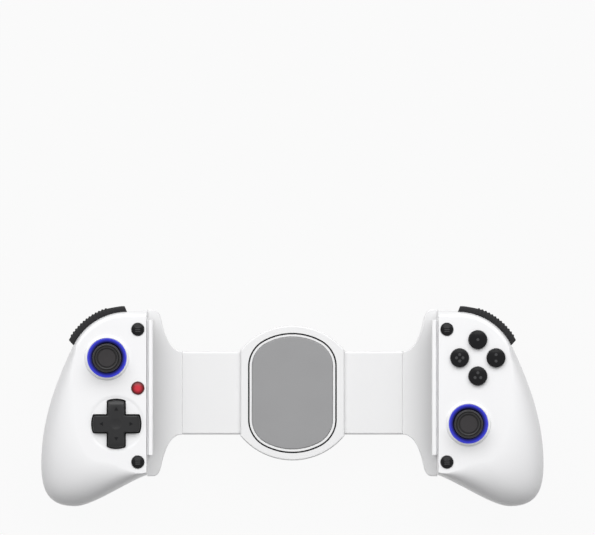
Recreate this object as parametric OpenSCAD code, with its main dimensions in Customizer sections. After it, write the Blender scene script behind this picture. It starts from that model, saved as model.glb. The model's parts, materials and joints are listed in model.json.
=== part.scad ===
// Telescopic game controller for a phone: two grips on a sprung bridge that opens evenly about its hub.
// It lies on its back: X runs from grip to grip, Y towards the shoulder keys, Z out of the face.
// Pieces of a grip are drawn for the right hand, with x measured outwards from the jaw wall.

/* [Bridge] */
// Distance between the two jaw walls with the bridge closed
jaw_gap = 145.3; // [140:0.1:160]
// How far each grip slides out
travel = 38; // [20:1:40]
// Height of the bridge's centre line above the middle of the grips
bridge_y = 6.5; // [4:0.5:9]
// Level of the bridge's middle plane
bridge_z = 15; // [14.5:0.1:15.5]
// Width of the sleeves across the bridge
sleeve_w = 41.5; // [40:0.1:42]
// Thickness of the sleeves
sleeve_t = 9; // [8.8:0.1:9.4]
// Wall of the sleeves
sleeve_wall = 1.4; // [1:0.1:1.6]
// Length of sleeve held inside the hub
sleeve_held = 6; // [4:0.5:8]
// Wall of the sliding tongues
tongue_wall = 1.2; // [1:0.1:1.4]
// Running gap between a tongue and its sleeve
slide_gap = 0.2; // [0.1:0.05:0.3]
// Distance from the hub's middle to a closed tongue's end
tongue_start = 5; // [4:0.5:8]
// Depth of tongue held inside the shoulder
tongue_held = 11; // [8:0.5:13]

/* [Hub] */
// Radius of the hub's round ends
hub_r = 33.7; // [33:0.1:36]
// Width of the hub between its flat sides
hub_w = 52; // [50:0.5:54]
// Front wall of the hub, which takes the pad
hub_front_wall = 1.8; // [1.6:0.1:2.4]
// Back wall and rim of the hub
hub_back_wall = 1.4; // [1.2:0.1:2]
// Clearance between the hub covers and the sleeves they clamp
hub_fit = 0.1; // [0.05:0.05:0.2]
// Width of the rest pad
pad_w = 40.4; // [38:0.1:41]
// Height of the rest pad
pad_h = 56.2; // [54:0.1:57]
// Corner radius of the rest pad
pad_corner = 13; // [11:0.5:14]
// Thickness of the rest pad
pad_t = 1.3; // [1.1:0.1:1.6]
// Depth of the recess under the rest pad
pad_sink = 1; // [0.6:0.1:1]
// White rim between the pad and the dark trim
rim_w = 1.25; // [1:0.05:1.5]
// Width of the dark trim line
trim_w = 0.65; // [0.5:0.05:0.8]
// Depth of the trim's groove
trim_d = 0.8; // [0.5:0.1:1]
// Places of the hub screws from the hub's centre
hub_screw_x = 12; // [10:0.5:13]
hub_screw_y = 26; // [25:0.5:27]

/* [Gear link] */
// Tooth size of the pinion and racks
gear_module = 0.8; // [0.75:0.05:0.85]
// Number of pinion teeth, even so that both racks mesh alike
pinion_teeth = 14; // [14:2:14]
// Thickness of the pinion and racks
gear_t = 2.2; // [1.8:0.1:2.4]
// Free play between the teeth
backlash = 0.16; // [0.1:0.02:0.2]
// Depth of a rack behind its teeth
rack_back = 2.6; // [2:0.1:3]
// Diameter of the pinion's axle
axle_d = 3; // [2.6:0.1:3.4]

/* [Springs and cable] */
// Outside diameter of the return springs
spring_d = 3; // [2.6:0.1:3.2]
// Wire of the return springs
spring_wire = 0.5; // [0.4:0.05:0.6]
// Turns in each return spring
spring_turns = 16; // [12:1:20]
// Clearance between a return spring and the tongue's wall
spring_room = 0.45; // [0.3:0.05:0.6]
// Diameter of the pegs that hold the return springs
peg_d = 1.8; // [1.4:0.1:2]
// Clearance on each side of the ribbon cable, between a rack and a spring
ribbon_room = 1; // [0.8:0.05:1.2]
// Thickness of the ribbon cable
ribbon_t = 0.3; // [0.2:0.05:0.35]

/* [Grip shells] */
// Level of the face above the surface that the grips rest on
face_z = 38; // [37:0.1:39]
// Level where the front and back shells meet
split_z = 20; // [19.9:0.05:20.1]
// Wall of the shells
wall = 2; // [1.8:0.1:2.2]
// Upper end of the jaw wall
grip_top = 47.7; // [47.4:0.1:48.2]
// Lower end of the jaw wall
grip_low = -34.5; // [-36:0.1:-34]
// Centre of the round shoulder corner, outwards from the jaw wall
corner_x = 9.55; // [9.4:0.05:9.7]
// Centre of the round shoulder corner, along the grip
corner_y = 16.9; // [16.8:0.05:17]
// Radius of the round shoulder corner
corner_r = 30.5; // [30.3:0.05:30.7]
// Widest point of the grip, outwards from the jaw wall
side_x = 52.95; // [50:0.05:56]
// Height of the widest point
side_y = -29; // [-32:0.5:-26]
// Lowest point of the grip, outwards from the jaw wall
tip_x = 36.05; // [34:0.05:38]
// Level of the lowest point along the grip
tip_y = -50.1; // [-54:0.1:-49]
// Width of the rounding along the upper edge of the face
face_round = 3; // [2.8:0.1:3.2]
// Lean of the jaw wall between the split and the face
draft = 0.2; // [0.1:0.05:0.4]
// Outer edge of the flat face
face_side_x = 36.2; // [35:0.1:38]
// Lower end of the flat face
face_tip_y = -27.5; // [-29:0.5:-27]

// Length and width of the flat face that a grip rests on
rest_l = 48; // [40:1:50]
rest_w = 18; // [16:0.5:20]

/* [Jaws] */
// Upper end of the jaw lips
lip_top = 43.1; // [40:0.1:44]
// Lower end of the jaw lips
lip_low = -24.4; // [-26:0.1:-20]
// Reach of the jaw lips over the phone
lip_reach = 3.15; // [2.5:0.05:4]
// Width of the groove between a lip and its grip
lip_groove = 0.9; // [0.6:0.05:1.2]
// Level of the underside of the jaw lips
lip_z = 34.4; // [33:0.1:35]
// Thickness of the jaw lips
lip_t = 2.6; // [2:0.1:2.8]
// Thickness of the jaw's back plate and of its rubber pad
jaw_t = 1; // [0.8:0.1:1.2]

/* [Shoulders] */
// Length of the shoulder plates, from the jaw wall to the seam
shoulder_l = 17.5; // [16:0.1:19]
// Half height of the shoulder plates
shoulder_h = 41.6; // [41:0.1:42]
// Thickness of the tab that holds a shoulder in its grip
tab_t = 3; // [2.6:0.1:3.2]
// Length of the tab
tab_len = 10; // [8:0.5:10.5]
// Upper and lower end of the tab
tab_top = 33; // [31:0.5:33.5]
tab_low = -24; // [-26:0.5:-22]
// Diameter of the locating pegs through the tab
tab_peg_d = 4; // [3:0.1:4.4]

/* [Sticks] */
// Place of the left stick
left_stick_x = 19.8; // [19.5:0.1:20.1]
left_stick_y = 24.2; // [23.9:0.1:24.5]
// Place of the right stick
right_stick_x = 15.15; // [14.8:0.05:15.5]
right_stick_y = -8.7; // [-9:0.1:-8.4]
// Level of the stick's pivot
stick_z = 29.5; // [29.3:0.1:29.7]
// Radius of the thumb cap
cap_r = 7.3; // [6.8:0.1:7.6]
// Height of the thumb cap above the pivot
cap_h = 13.5; // [13.2:0.1:14]
// Thickness of the thumb cap
cap_t = 3.4; // [2.8:0.1:3.8]
// Radius of the neck under the cap
neck_r = 3; // [2.7:0.1:3.2]
// Radius of the round skirt that covers the hole
skirt_r = 9; // [8.8:0.1:9.2]
// Angle from the top to the skirt's edge
skirt_deg = 50; // [46:1:51]
// Radius of the hole through the light ring
stick_hole_r = 8.25; // [8.1:0.05:8.4]
// Outer radius of the light ring's face
glow_r = 9.8; // [9.5:0.05:10]
// Outer radius and height of the collar round the light ring
collar_r = 11.2; // [11:0.1:11.6]
collar_h = 1; // [0.6:0.1:1.2]
// Side of the square stick housing
housing_w = 15; // [14.6:0.1:15.2]
// Diameter of the gimbal's pins
gimbal_d = 1.6; // [1.4:0.1:1.7]
// Click travel of a stick
click = 0.5; // [0.3:0.1:0.6]

/* [D-pad] */
// Place of the D-pad
dpad_x = 15.15; // [14.9:0.05:15.4]
dpad_y = -8.7; // [-9:0.1:-8.4]
// Length across the D-pad's arms
dpad_l = 24.6; // [24:0.1:25]
// Width of the D-pad's arms
dpad_w = 9; // [8.6:0.1:9.4]
// Height of the D-pad above the face
dpad_h = 2.4; // [2:0.1:3]
// Gap round the D-pad
dpad_gap = 0.65; // [0.6:0.05:0.8]
// Radius of the dish round the D-pad
dish_r = 14; // [13.8:0.1:14.4]
// Depth of the dish
dish_d = 0.7; // [0.5:0.1:0.9]
// Level of the D-pad's pivot
dpad_z = 32; // [31.9:0.05:32.1]

/* [Buttons] */
// Centre of the four face buttons
face_keys_x = 19.8; // [19.6:0.1:20]
face_keys_y = 24.2; // [24:0.1:24.4]
// Distance of a face button from that centre
face_key_step = 9.06; // [8.9:0.02:9.2]
// Radius of a face button
face_key_r = 4.7; // [4.4:0.1:4.8]
// Height of a face button above the face
face_key_h = 2.5; // [2:0.1:3]
// Distance of the small buttons from the jaw wall
small_key_x = 4.4; // [4.3:0.05:4.6]
// Places of the small buttons along the grip
small_upper_y = 38.4; // [38.2:0.1:38.6]
small_red_y = 9.1; // [8.5:0.1:9.5]
small_lower_y = -27.75; // [-28:0.05:-27.5]
// Radius of a small button
small_key_r = 3.1; // [2.9:0.1:3.2]
// Height of a small button above the face
small_key_h = 1.3; // [1:0.1:1.6]
// Clearance of a button in its hole
key_gap = 0.15; // [0.1:0.05:0.2]

/* [Bumpers and triggers] */
// Outer radius of the bumper band about the shoulder corner
bumper_r = 33.6; // [33.5:0.05:33.8]
// Inner radius of the bumper band
bumper_in = 31; // [30.9:0.05:31.2]
// Ribs on the bumper band
rib_count = 13; // [10:1:15]
// Level of the bumper's top
bumper_top = 31; // [30:0.1:31.2]
// Gap between the bumper and the trigger below it
lever_gap = 0.6; // [0.5:0.05:0.8]
// Level of the trigger's lower end
trigger_low = 5; // [4.5:0.1:7]
// Thickness of the trigger's finger plate
trigger_t = 2.2; // [1.8:0.1:2.4]
// Diameter of the bumper's pin
bumper_pin_d = 2; // [1.8:0.1:2.2]
// Diameter of the trigger's pin
trigger_pin_d = 2.4; // [2:0.1:2.6]

/* [Inside] */
// Level of the circuit boards' upper side
board_z = 26; // [25.8:0.1:26.1]
// Thickness of the circuit boards
board_t = 1.2; // [1:0.1:1.4]
// Thickness of the silicone key mats
mat_t = 1; // [0.8:0.1:1.2]
// Diameter of the screws
screw_d = 2; // [1.8:0.1:2.2]
// Diameter of the screw heads
head_d = 4; // [3.6:0.1:4.2]
// Height of the screw heads
head_h = 1.5; // [1.2:0.1:1.8]
// Width and height of the charging socket
socket_w = 8.9; // [8.6:0.1:9.2]
socket_t = 3.2; // [3:0.1:3.4]
// Battery, across, along and through the grip
battery_w = 12; // [10:0.5:12]
battery_l = 32; // [28:1:32]
battery_t = 8; // [7:0.5:8]
// Level of the battery's underside
battery_z = 5.5; // [5:0.5:6]

/* [Hidden] */
$fn = 64;
// Overlap that joins shapes and clears cuts
e = 0.01;
// Running clearance round a pin, on the radius
pin_gap = 0.05;

shell_white = [0.93, 0.93, 0.94];
key_black = [0.1, 0.1, 0.11];
metal = [0.7, 0.71, 0.73];

jaw_x = jaw_gap / 2;
seam_x = jaw_x - shoulder_l;
sleeve_in_w = sleeve_w - 2 * sleeve_wall;
sleeve_in_t = sleeve_t - 2 * sleeve_wall;
tongue_w = sleeve_in_w - 2 * slide_gap;
tongue_t = sleeve_in_t - 2 * slide_gap;
tongue_end = seam_x + tongue_held;
hub_top = bridge_z + sleeve_t / 2 + hub_fit + hub_front_wall;
hub_low = bridge_z - sleeve_t / 2 - hub_fit - hub_back_wall;
pitch_r = gear_module * pinion_teeth / 2;
rack_pitch = PI * gear_module;
rack_tip = 0.75 * gear_module;
rack_root = 1.15 * gear_module;
pressure = 20;
// Across the bridge: back of a rack, spring, and the cable in the bay between them
rack_y = pitch_r + rack_root + rack_back;
spring_y = tongue_w / 2 - tongue_wall - spring_d / 2 - spring_room;
ribbon_w = spring_y - spring_d / 2 - rack_y - 2 * ribbon_room;
ribbon_y = rack_y + ribbon_room + ribbon_w / 2;

corner = [corner_x, corner_y];
corner_end = 25;
face_in = face_z - wall;
rest_at = [29, -12];
rest_turn = -82;
left_stick = [left_stick_x, left_stick_y];
right_stick = [right_stick_x, right_stick_y];
dpad_at = [dpad_x, dpad_y];
face_keys = [face_keys_x, face_keys_y];
// Keys: level of the stem's end, rim under the face and its play
key_low = 32;
flange_t = 1;
flange_play = 0.2;
face_key_flange = face_key_r + 0.3;
small_key_flange = small_key_r + 0.8;
// The rim of a small key is cut beside the jaw wall and at its lower side
small_flange_x = -2;
small_flange_y = -1.2;
// Rod of a stick
rod_d = 3;
rod_top = 10;

// Screws of a grip: place, lower end of the back boss, level of the head's seat
grip_screws = [[32, 8, 1.8, 6], [26, -26, 0.6, 6], [12, 37.4, 13.3, 15.5]];
boss_r = 2.8;
boss_step = 0.5;
// Pegs through a tab: place and lower end
tab_pegs = [[6.5, 27, 12], [6.5, -16, 7.6]];
tab_z = bridge_z + 1;

window_in = 26.4;
window_a0 = 24.5;
window_a1 = 92;
window_low = 13;
window_gap = 0.5;
bumper_a0 = 27.5;
bumper_a1 = 87.4;
rib_a0 = 33;
rib_a1 = 71;
bumper_pin_at = corner + 27.2 * [cos(81), sin(81)];
bumper_low = split_z + 1.4;
web_in = 27.6;
trigger_mid = 57.5;
trigger_pin_r = 25;
trigger_pin_z = 21;
trigger_top = bumper_low - lever_gap;
// Posts of the shell and knuckles of the trigger along the trigger's pin
post_y = 7.5;
post_w = 1.8;
post_low = 15.4;
pin_half = post_y + post_w / 2;
knuckle_y = 4.8;
knuckle_w = 2.4;
knuckle_d = 4.6;

// Inner edge of the key mats
mat_x = wall + 0.7;
socket_at = [9, -33];
socket_turn = -18;
battery_at = [30, -36];

// Curves: each leaves out its end, so that the next one starts there
function line(a, b, n) = [for (i = [0:n - 1]) a + (b - a) * i / n];
function arc(c, r, a0, a1, n) =
    [for (i = [0:n - 1]) let (a = a0 + (a1 - a0) * i / n) c + r * [cos(a), sin(a)]];
function full_arc(c, r, a0, a1, n) = concat(arc(c, r, a0, a1, n), [c + r * [cos(a1), sin(a1)]]);
function bezier(a, b, c, d, n) = [for (i = [0:n - 1]) let (t = i / n, s = 1 - t)
    s * s * s * a + 3 * s * s * t * b + 3 * s * t * t * c + t * t * t * d];

// Rectangle with round corners
function rounded(w, h, r) = let (x = w / 2 - r, y = h / 2 - r) concat(
    full_arc([x, y], r, 0, 90, 6), full_arc([-x, y], r, 90, 180, 6),
    full_arc([-x, -y], r, 180, 270, 6), full_arc([x, -y], r, 270, 360, 6));

// Circle of diameter h cut to width w, with round corners
function cut_round(w, h, r) = let (x = w / 2 - r, d = h / 2 - r, y = sqrt(d * d - x * x), a = atan2(y, x))
    concat(arc([x, y], r, 0, a, 8), arc([0, 0], h / 2, a, 180 - a, 16), full_arc([-x, y], r, 180 - a, 180, 8),
        arc([-x, -y], r, 180, 180 + a, 8), arc([0, 0], h / 2, 180 + a, 360 - a, 16),
        full_arc([x, -y], r, 360 - a, 360, 8));

// The hub's plan: a circle cut by two flat sides
function hub_plan(inset) = let (r = hub_r - inset, a = acos((hub_w / 2 - inset) / r), n = 24) concat(
    arc([0, 0], r, a, 180 - a, n), [r * [cos(180 - a), sin(180 - a)]],
    arc([0, 0], r, 180 + a, 360 - a, n), [r * [cos(360 - a), sin(360 - a)]]);

// One closed outline of a grip: jaw wall, top edge, round shoulder, outer side, tip and lower edge.
// pull holds the lengths of the curve handles in that order.
function grip_ring(x0, low, top, c, r, side, tip, pull) =
    let (out = [cos(corner_end), sin(corner_end)], start = [x0, low])
    concat(line(start, [x0, top], 8), line([x0, top], c + [0, r], 3), arc(c, r, 90, corner_end, 12),
        bezier(c + r * out, c + r * out + pull[0] * [out.y, -out.x], side + [0, pull[1]], side, 12),
        bezier(side, side - [0, pull[2]], tip + [pull[3], 0], tip, 12),
        bezier(tip, tip - [pull[4], 0], start + pull[5] * [0.95, -0.3], start, 9));

// Outline drawn in by w along its normals
function inset(p, w) = let (n = len(p)) [for (i = [0:n - 1])
    let (a = p[(i + n - 1) % n], b = p[(i + 1) % n],
        u = (p[i] - a) / norm(p[i] - a), v = (b - p[i]) / norm(b - p[i]),
        m = [u.y, -u.x], k = [v.y, -v.x]) p[i] + w * (m + k) / (1 + m * k)];

outline = grip_ring(0, grip_low, grip_top, corner, corner_r, [side_x, side_y], [tip_x, tip_y],
    [18, 23, 14.5, 12.5, 9, 10]);
face_ring = grip_ring(draft, grip_low + face_round, grip_top - face_round, corner, corner_r - face_round,
    [face_side_x, 0], [tip_x - 14, face_tip_y], [9, 9, 14, 9, 7, 7]);
// The flat face that a grip rests on: an ellipse, met by each point of the outline along its own line
rest_ring = [for (p = outline) let (d = p - rest_at, a = atan2(d.y, d.x) - rest_turn)
    rest_at + d / norm(d) * rest_l * rest_w / norm([2 * rest_w * cos(a), 2 * rest_l * sin(a)])];

// Roundness of the front and back along the grip: the back thins out towards the shoulder keys
function ease(t) = let (s = min(1, max(0, t))) s * s * (3 - 2 * s);
front_curve = [1.7, 2];
function back_curve(p) = let (t = ease((p.y + 10) / 40)) [2 - 0.4 * t, 2 - 0.75 * t];

// Hollow half of a grip between a flat ring at z0 and the split. A flat plate closes its middle.
module skin(flat, flat_in, plate, edge, edge_in, z0, z_in, back) {
    steps = 8;
    n = len(edge);
    rings = [for (k = [0:steps]) [flat, edge, z0, k], for (k = [steps:-2:0]) [flat_in, edge_in, z_in, k],
        [plate, plate, z_in, 0], [plate, plate, z0, 0]];
    points = [for (q = rings) for (i = [0:n - 1])
        let (c = back ? back_curve(edge[i]) : front_curve, a = 90 * q[3] / steps,
            u = pow(sin(a), 2 / c[0]), v = pow(cos(a), 2 / c[1]), p = q[0][i] + (q[1][i] - q[0][i]) * u)
        [p.x, p.y, split_z + (q[2] - split_z) * v]];
    faces = [for (r = [0:len(rings) - 1]) for (i = [0:n - 1])
        let (s = (r + 1) % len(rings), j = (i + 1) % n,
            a = r * n + i, b = r * n + j, c = s * n + j, d = s * n + i)
        each [[a, c, b], [a, d, c]]];
    polyhedron(points, back ? [for (f = faces) [f[2], f[1], f[0]]] : faces);
    prism(plate, min(z0, z_in), max(z0, z_in));
}

// Tube swept along points, for coils
module wire(path, d) {
    m = 6;
    n = len(path);
    points = [for (i = [0:n - 1])
        let (t = path[min(i + 1, n - 1)] - path[max(i - 1, 0)], w = t / norm(t),
            u0 = cross(w, [1, 0, 0]), u = u0 / norm(u0), v = cross(w, u))
        for (k = [0:m - 1]) path[i] + d / 2 * (cos(360 * k / m) * u + sin(360 * k / m) * v)];
    sides = [for (i = [0:n - 2]) for (k = [0:m - 1])
        let (a = i * m + k, b = i * m + (k + 1) % m) each [[a, a + m, b], [b, a + m, b + m]]];
    polyhedron(points, concat(sides, [[for (k = [0:m - 1]) k]], [[for (k = [m - 1:-1:0]) (n - 1) * m + k]]));
}

// Coil along X from 0 to l
function coil(l, r, turns) = [for (i = [0:8 * turns])
    let (a = 360 * i / 8) [l * i / (8 * turns), r * cos(a), r * sin(a)]];

module right_grip() { translate([jaw_x, 0, 0]) children(); }
module left_grip() { mirror([1, 0, 0]) right_grip() children(); }
module on_bridge() { translate([0, bridge_y, bridge_z]) children(); }
module right_arm() { on_bridge() children(); }
module left_arm() { on_bridge() rotate(180) children(); }
module place(p, z = 0) { translate([p.x, p.y, z]) children(); }
module tube(d, z0, z1) { translate([0, 0, z0]) cylinder(d = d, h = z1 - z0); }
module prism(p, z0, z1) { translate([0, 0, z0]) linear_extrude(z1 - z0) polygon(p); }
module along_x(d, x0, x1) { translate([x0, 0, 0]) rotate([0, 90, 0]) cylinder(d = d, h = x1 - x0); }
module along_y(d, y0, y1) { translate([0, y1, 0]) rotate([90, 0, 0]) cylinder(d = d, h = y1 - y0); }
module box(a, b) { translate(a) cube(b - a); }
// Bar along X with the section p drawn across Y and Z
module bar(p, x0, x1) { translate([x0, 0, 0]) rotate([90, 0, 90]) linear_extrude(x1 - x0) polygon(p); }
// Ring sector about the shoulder corner, with the section p drawn in radius and level
module sector(p, a0, a1) { place(corner) rotate(a0) rotate_extrude(angle = a1 - a0) polygon(p); }
function slab(r0, r1, z0, z1) = [[r0, z0], [r1, z0], [r1, z1], [r0, z1]];
module screw(seat, end) {
    tube(head_d, seat - head_h, seat);
    tube(screw_d, seat - e, end);
}

// Hub

module hub_shell(z0, z1, floor0, floor1) {
    place([0, bridge_y]) difference() {
        prism(hub_plan(0), z0, z1);
        prism(hub_plan(hub_back_wall), floor0, floor1);
    }
}

module sleeve_mouths() {
    on_bridge()
        bar(rounded(sleeve_w + 2 * hub_fit, sleeve_t + 2 * hub_fit, 1), -hub_w / 2 - 1, hub_w / 2 + 1);
}

module hub_bosses(d, z0, z1) {
    for (x = [-1, 1], y = [-1, 1]) place([x * hub_screw_x, bridge_y + y * hub_screw_y]) tube(d, z0, z1);
}

module hub_front_cover() {
    plate = hub_top - hub_front_wall;
    color(shell_white) difference() {
        union() {
            hub_shell(bridge_z, hub_top, bridge_z - 1, plate);
            hub_bosses(2 * boss_r, bridge_z, plate + e);
        }
        sleeve_mouths();
        hub_bosses(screw_d + 2 * pin_gap, bridge_z - 1, plate - 1);
        place([0, bridge_y]) {
            prism(cut_round(pad_w, pad_h, pad_corner), hub_top - pad_sink, hub_top + 1);
            trim_ring(hub_top + 1);
        }
    }
}

module trim_ring(top) {
    inner = 2 * rim_w;
    outer = inner + 2 * trim_w;
    difference() {
        prism(cut_round(pad_w + outer, pad_h + outer, pad_corner + outer / 2), hub_top - trim_d, top);
        prism(cut_round(pad_w + inner, pad_h + inner, pad_corner + inner / 2), hub_top - trim_d - 1, top + 1);
    }
}

module pad_trim() { color([0.2, 0.2, 0.21]) place([0, bridge_y]) trim_ring(hub_top); }

module rest_pad() {
    floor_z = hub_top - pad_sink;
    color([0.58, 0.58, 0.59]) place([0, bridge_y])
        prism(cut_round(pad_w, pad_h, pad_corner), floor_z, floor_z + pad_t);
}

module hub_back_cover() {
    plate = hub_low + hub_back_wall;
    seat = plate + head_h;
    color(shell_white) difference() {
        union() {
            hub_shell(hub_low, bridge_z, plate, bridge_z + 1);
            hub_bosses(2 * boss_r, plate - e, bridge_z);
            on_bridge() {
                tube(axle_d, plate - bridge_z - e, tongue_t / 2);
                for (s = [-1, 1]) place([s * (tongue_start - peg_d), -s * spring_y])
                    tube(peg_d, plate - bridge_z - e, spring_d / 2);
            }
        }
        sleeve_mouths_open();
        hub_bosses(screw_d + 4 * pin_gap, hub_low - 1, bridge_z + 1);
        hub_bosses(head_d + 4 * pin_gap, hub_low - 1, seat);
    }
}

// The mouths only, so that the axle and pegs between the sleeves stay
module sleeve_mouths_open() {
    for (s = [-1, 1]) on_bridge() translate([s * (hub_w / 2 - hub_back_wall / 2), 0, 0])
        bar(rounded(sleeve_w + 2 * hub_fit, sleeve_t + 2 * hub_fit, 1), -hub_back_wall, hub_back_wall);
}

module hub_screws() {
    seat = hub_low + hub_back_wall + head_h;
    color(metal) for (x = [-1, 1], y = [-1, 1])
        place([x * hub_screw_x, bridge_y + y * hub_screw_y]) screw(seat, bridge_z + 3);
}

// Bridge

module sleeve() {
    start = hub_w / 2 - sleeve_held;
    difference() {
        bar(rounded(sleeve_w, sleeve_t, 1), start, seam_x);
        bar(rounded(sleeve_in_w, sleeve_in_t, 0.6), start - 1, seam_x + 1);
    }
}

module left_sleeve() { color(shell_white) left_arm() sleeve(); }
module right_sleeve() { color(shell_white) right_arm() sleeve(); }

// Rack tooth: half widths at the root and the tip about the pitch line
function rack_tooth(x) = let (half = rack_pitch / 4 - backlash / 4, lean = tan(pressure))
    [[x - half - rack_root * lean, -rack_root], [x - half + rack_tip * lean, rack_tip],
     [x + half - rack_tip * lean, rack_tip], [x + half + rack_root * lean, -rack_root]];

module rack() {
    first = -2;
    last = ceil(travel / rack_pitch) + 1;
    x0 = (first - 0.5) * rack_pitch;
    x1 = (last + 1.5) * rack_pitch;
    teeth = [for (k = [first:last]) each rack_tooth((k + 0.5) * rack_pitch)];
    back = rack_root + rack_back;
    translate([0, -pitch_r, -gear_t / 2]) linear_extrude(gear_t) scale([-1, 1])
        polygon(concat([[x0, -back], [x0, -rack_root]], teeth, [[x1, -rack_root], [x1, -back]]));
}

// Slot along X that the ribbon cable passes through
module ribbon_slot(x0, x1) {
    half_w = ribbon_w / 2 + 0.5;
    half_h = 1.2;
    box([x0, -half_w, -half_h], [x1, half_w, half_h]);
}

// Sliding tube with its rack, which reaches past the pinion into the other tongue
module tongue() {
    shank = [1.5 * rack_pitch, tongue_start + 30];
    in_t = tongue_t - 2 * tongue_wall;
    back = pitch_r + rack_root;
    difference() {
        bar(rounded(tongue_w, tongue_t, 0.5), tongue_start, tongue_end);
        bar(rounded(tongue_w - 2 * tongue_wall, in_t, 0.3), tongue_start - 1, tongue_end - tongue_wall);
        for (s = [-1, 1]) translate([0, s * ribbon_y, 0])
            ribbon_slot(tongue_end - 2 * tongue_wall, tongue_end + 1);
    }
    rack();
    // Shank that carries the rack from the tube's lower wall
    box([shank[0], -rack_y, -gear_t / 2], [shank[1], -back, gear_t / 2]);
    box([tongue_start, -rack_y, -in_t / 2 - e], [shank[1], -back, 0]);
}

module left_tongue() { color([0.8, 0.8, 0.82]) left_arm() tongue(); }
module right_tongue() { color([0.8, 0.8, 0.82]) right_arm() tongue(); }

// Involute pinion: angle of the flank at radius r, from the middle of a tooth
function involute(a) = tan(a) * 180 / PI - a;
function flank(r) = let (base = pitch_r * cos(pressure), a = r > base ? acos(base / r) : 0)
    (90 / pinion_teeth - backlash / 4 / pitch_r * 180 / PI) + involute(pressure) - involute(a);

module sync_pinion() {
    outer = pitch_r + 0.85 * gear_module;
    root = pitch_r - 1.05 * gear_module;
    base = pitch_r * cos(pressure);
    radii = [root, base, (base + pitch_r) / 2, pitch_r, (pitch_r + outer) / 2, outer];
    tooth = [for (r = radii) [r, -flank(r)], for (i = [len(radii) - 1:-1:0]) [radii[i], flank(radii[i])]];
    color([0.85, 0.8, 0.6]) on_bridge() difference() {
        translate([0, 0, -gear_t / 2]) linear_extrude(gear_t)
            polygon([for (k = [0:pinion_teeth - 1]) for (p = tooth)
                let (a = 90 + 360 * k / pinion_teeth + p[1]) p[0] * [cos(a), sin(a)]]);
        tube(axle_d + 2 * pin_gap, -gear_t, gear_t);
    }
}

module return_spring() {
    start = tongue_start - peg_d / 2 + 0.2;
    translate([start, -spring_y, 0])
        wire(coil(tongue_end - tongue_wall - start - spring_wire / 2 - 0.05, (spring_d - spring_wire) / 2,
            spring_turns), spring_wire);
}

module left_return_spring() { color(metal) left_arm() return_spring(); }
module right_return_spring() { color(metal) right_arm() return_spring(); }

// Ribbon cable: two folds in each tongue give it the slack to slide
module ribbon_cable() {
    fold = 1;
    near = tongue_start + 7;
    far = seam_x - 5.15;
    end = tongue_end - 2;
    out = jaw_x + tab_len + 1;
    path = [[0, fold], [far, fold], [far, 0], [near, 0], [near, -fold], [end, -fold], [end, 0],
        [out, 0], [out, board_z - board_t - bridge_z]];
    color([0.75, 0.6, 0.35]) on_bridge() for (s = [0, 1]) mirror([s, 0, 0])
        for (i = [0:len(path) - 2]) {
            a = path[i];
            b = path[i + 1];
            h = ribbon_t / 2;
            top = i == len(path) - 2 ? 0 : h;
            box([min(a.x, b.x) - h, ribbon_y - ribbon_w / 2, min(a.y, b.y) - h],
                [max(a.x, b.x) + h, ribbon_y + ribbon_w / 2, max(a.y, b.y) + top]);
        }
}

// Shoulder and jaw

module shoulder() {
    low = bridge_z - sleeve_t / 2;
    inner = -shoulder_l;
    half_w = sleeve_w / 2;
    outer = -0.15;
    tip = [0.163 * inner, shoulder_h];
    neck = [0.426 * inner, 0.832 * shoulder_h];
    edge = concat(bezier(tip, tip - [3, 0], neck + [0.8, 3.9], neck, 8),
        bezier(neck, [0.529 * inner, 0.65 * shoulder_h], [0.694 * inner, half_w], [inner, half_w], 10),
        [[inner, half_w]]);
    lower = [for (i = [len(edge) - 1:-1:0]) [edge[i].x, -edge[i].y]];
    difference() {
        union() {
            place([0, bridge_y]) prism(concat([[outer, shoulder_h]], edge, lower, [[outer, -shoulder_h]]),
                low, low + sleeve_t);
            box([-1, tab_low, tab_z - tab_t / 2], [tab_len, tab_top, tab_z + tab_t / 2]);
        }
        translate([-jaw_x, 0, 0]) on_bridge() bar(rounded(tongue_w, tongue_t, 0.5), seam_x - 1, tongue_end);
        place([0, bridge_y + ribbon_y], bridge_z) ribbon_slot(tongue_end - jaw_x - e, tab_len + 1);
        for (p = tab_pegs) place(p) tube(tab_peg_d + 4 * pin_gap, tab_z - tab_t, tab_z + tab_t);
    }
}

module left_shoulder() { color(shell_white) left_grip() shoulder(); }
module right_shoulder() { color(shell_white) right_grip() shoulder(); }

module jaw_lip() {
    step = lip_z + 0.8;
    box([-jaw_t, lip_low, split_z + 0.3], [0, lip_top, step]);
    box([-lip_reach, lip_low, lip_z], [0, lip_top, step]);
    box([-lip_reach, lip_low, lip_z], [-lip_groove, lip_top, lip_z + lip_t]);
}

module left_jaw_lip() { color(shell_white) left_grip() jaw_lip(); }
module right_jaw_lip() { color(shell_white) right_grip() jaw_lip(); }

module jaw_pad() {
    pitch = 4;
    groove = 0.5;
    difference() {
        box([-2 * jaw_t, lip_low + 0.6, split_z + 0.6], [-jaw_t, lip_top - 0.6, lip_z - 0.1]);
        for (y = [lip_low + pitch:pitch:lip_top - pitch])
            box([-2 * jaw_t - 1, y - groove, split_z + 2], [-2 * jaw_t + groove, y + groove, lip_z - 1.5]);
    }
}

module left_jaw_pad() { color([0.35, 0.35, 0.36]) left_grip() jaw_pad(); }
module right_jaw_pad() { color([0.35, 0.35, 0.36]) right_grip() jaw_pad(); }

// Grip shells

module lever_window() {
    sector(slab(window_in, corner_r + 10, window_low, bumper_top + window_gap), window_a0, window_a1);
}

module small_holes(ys) {
    for (y = ys) place([small_key_x, y]) tube(2 * (small_key_r + key_gap), face_in - 1, face_z + 1);
}

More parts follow.
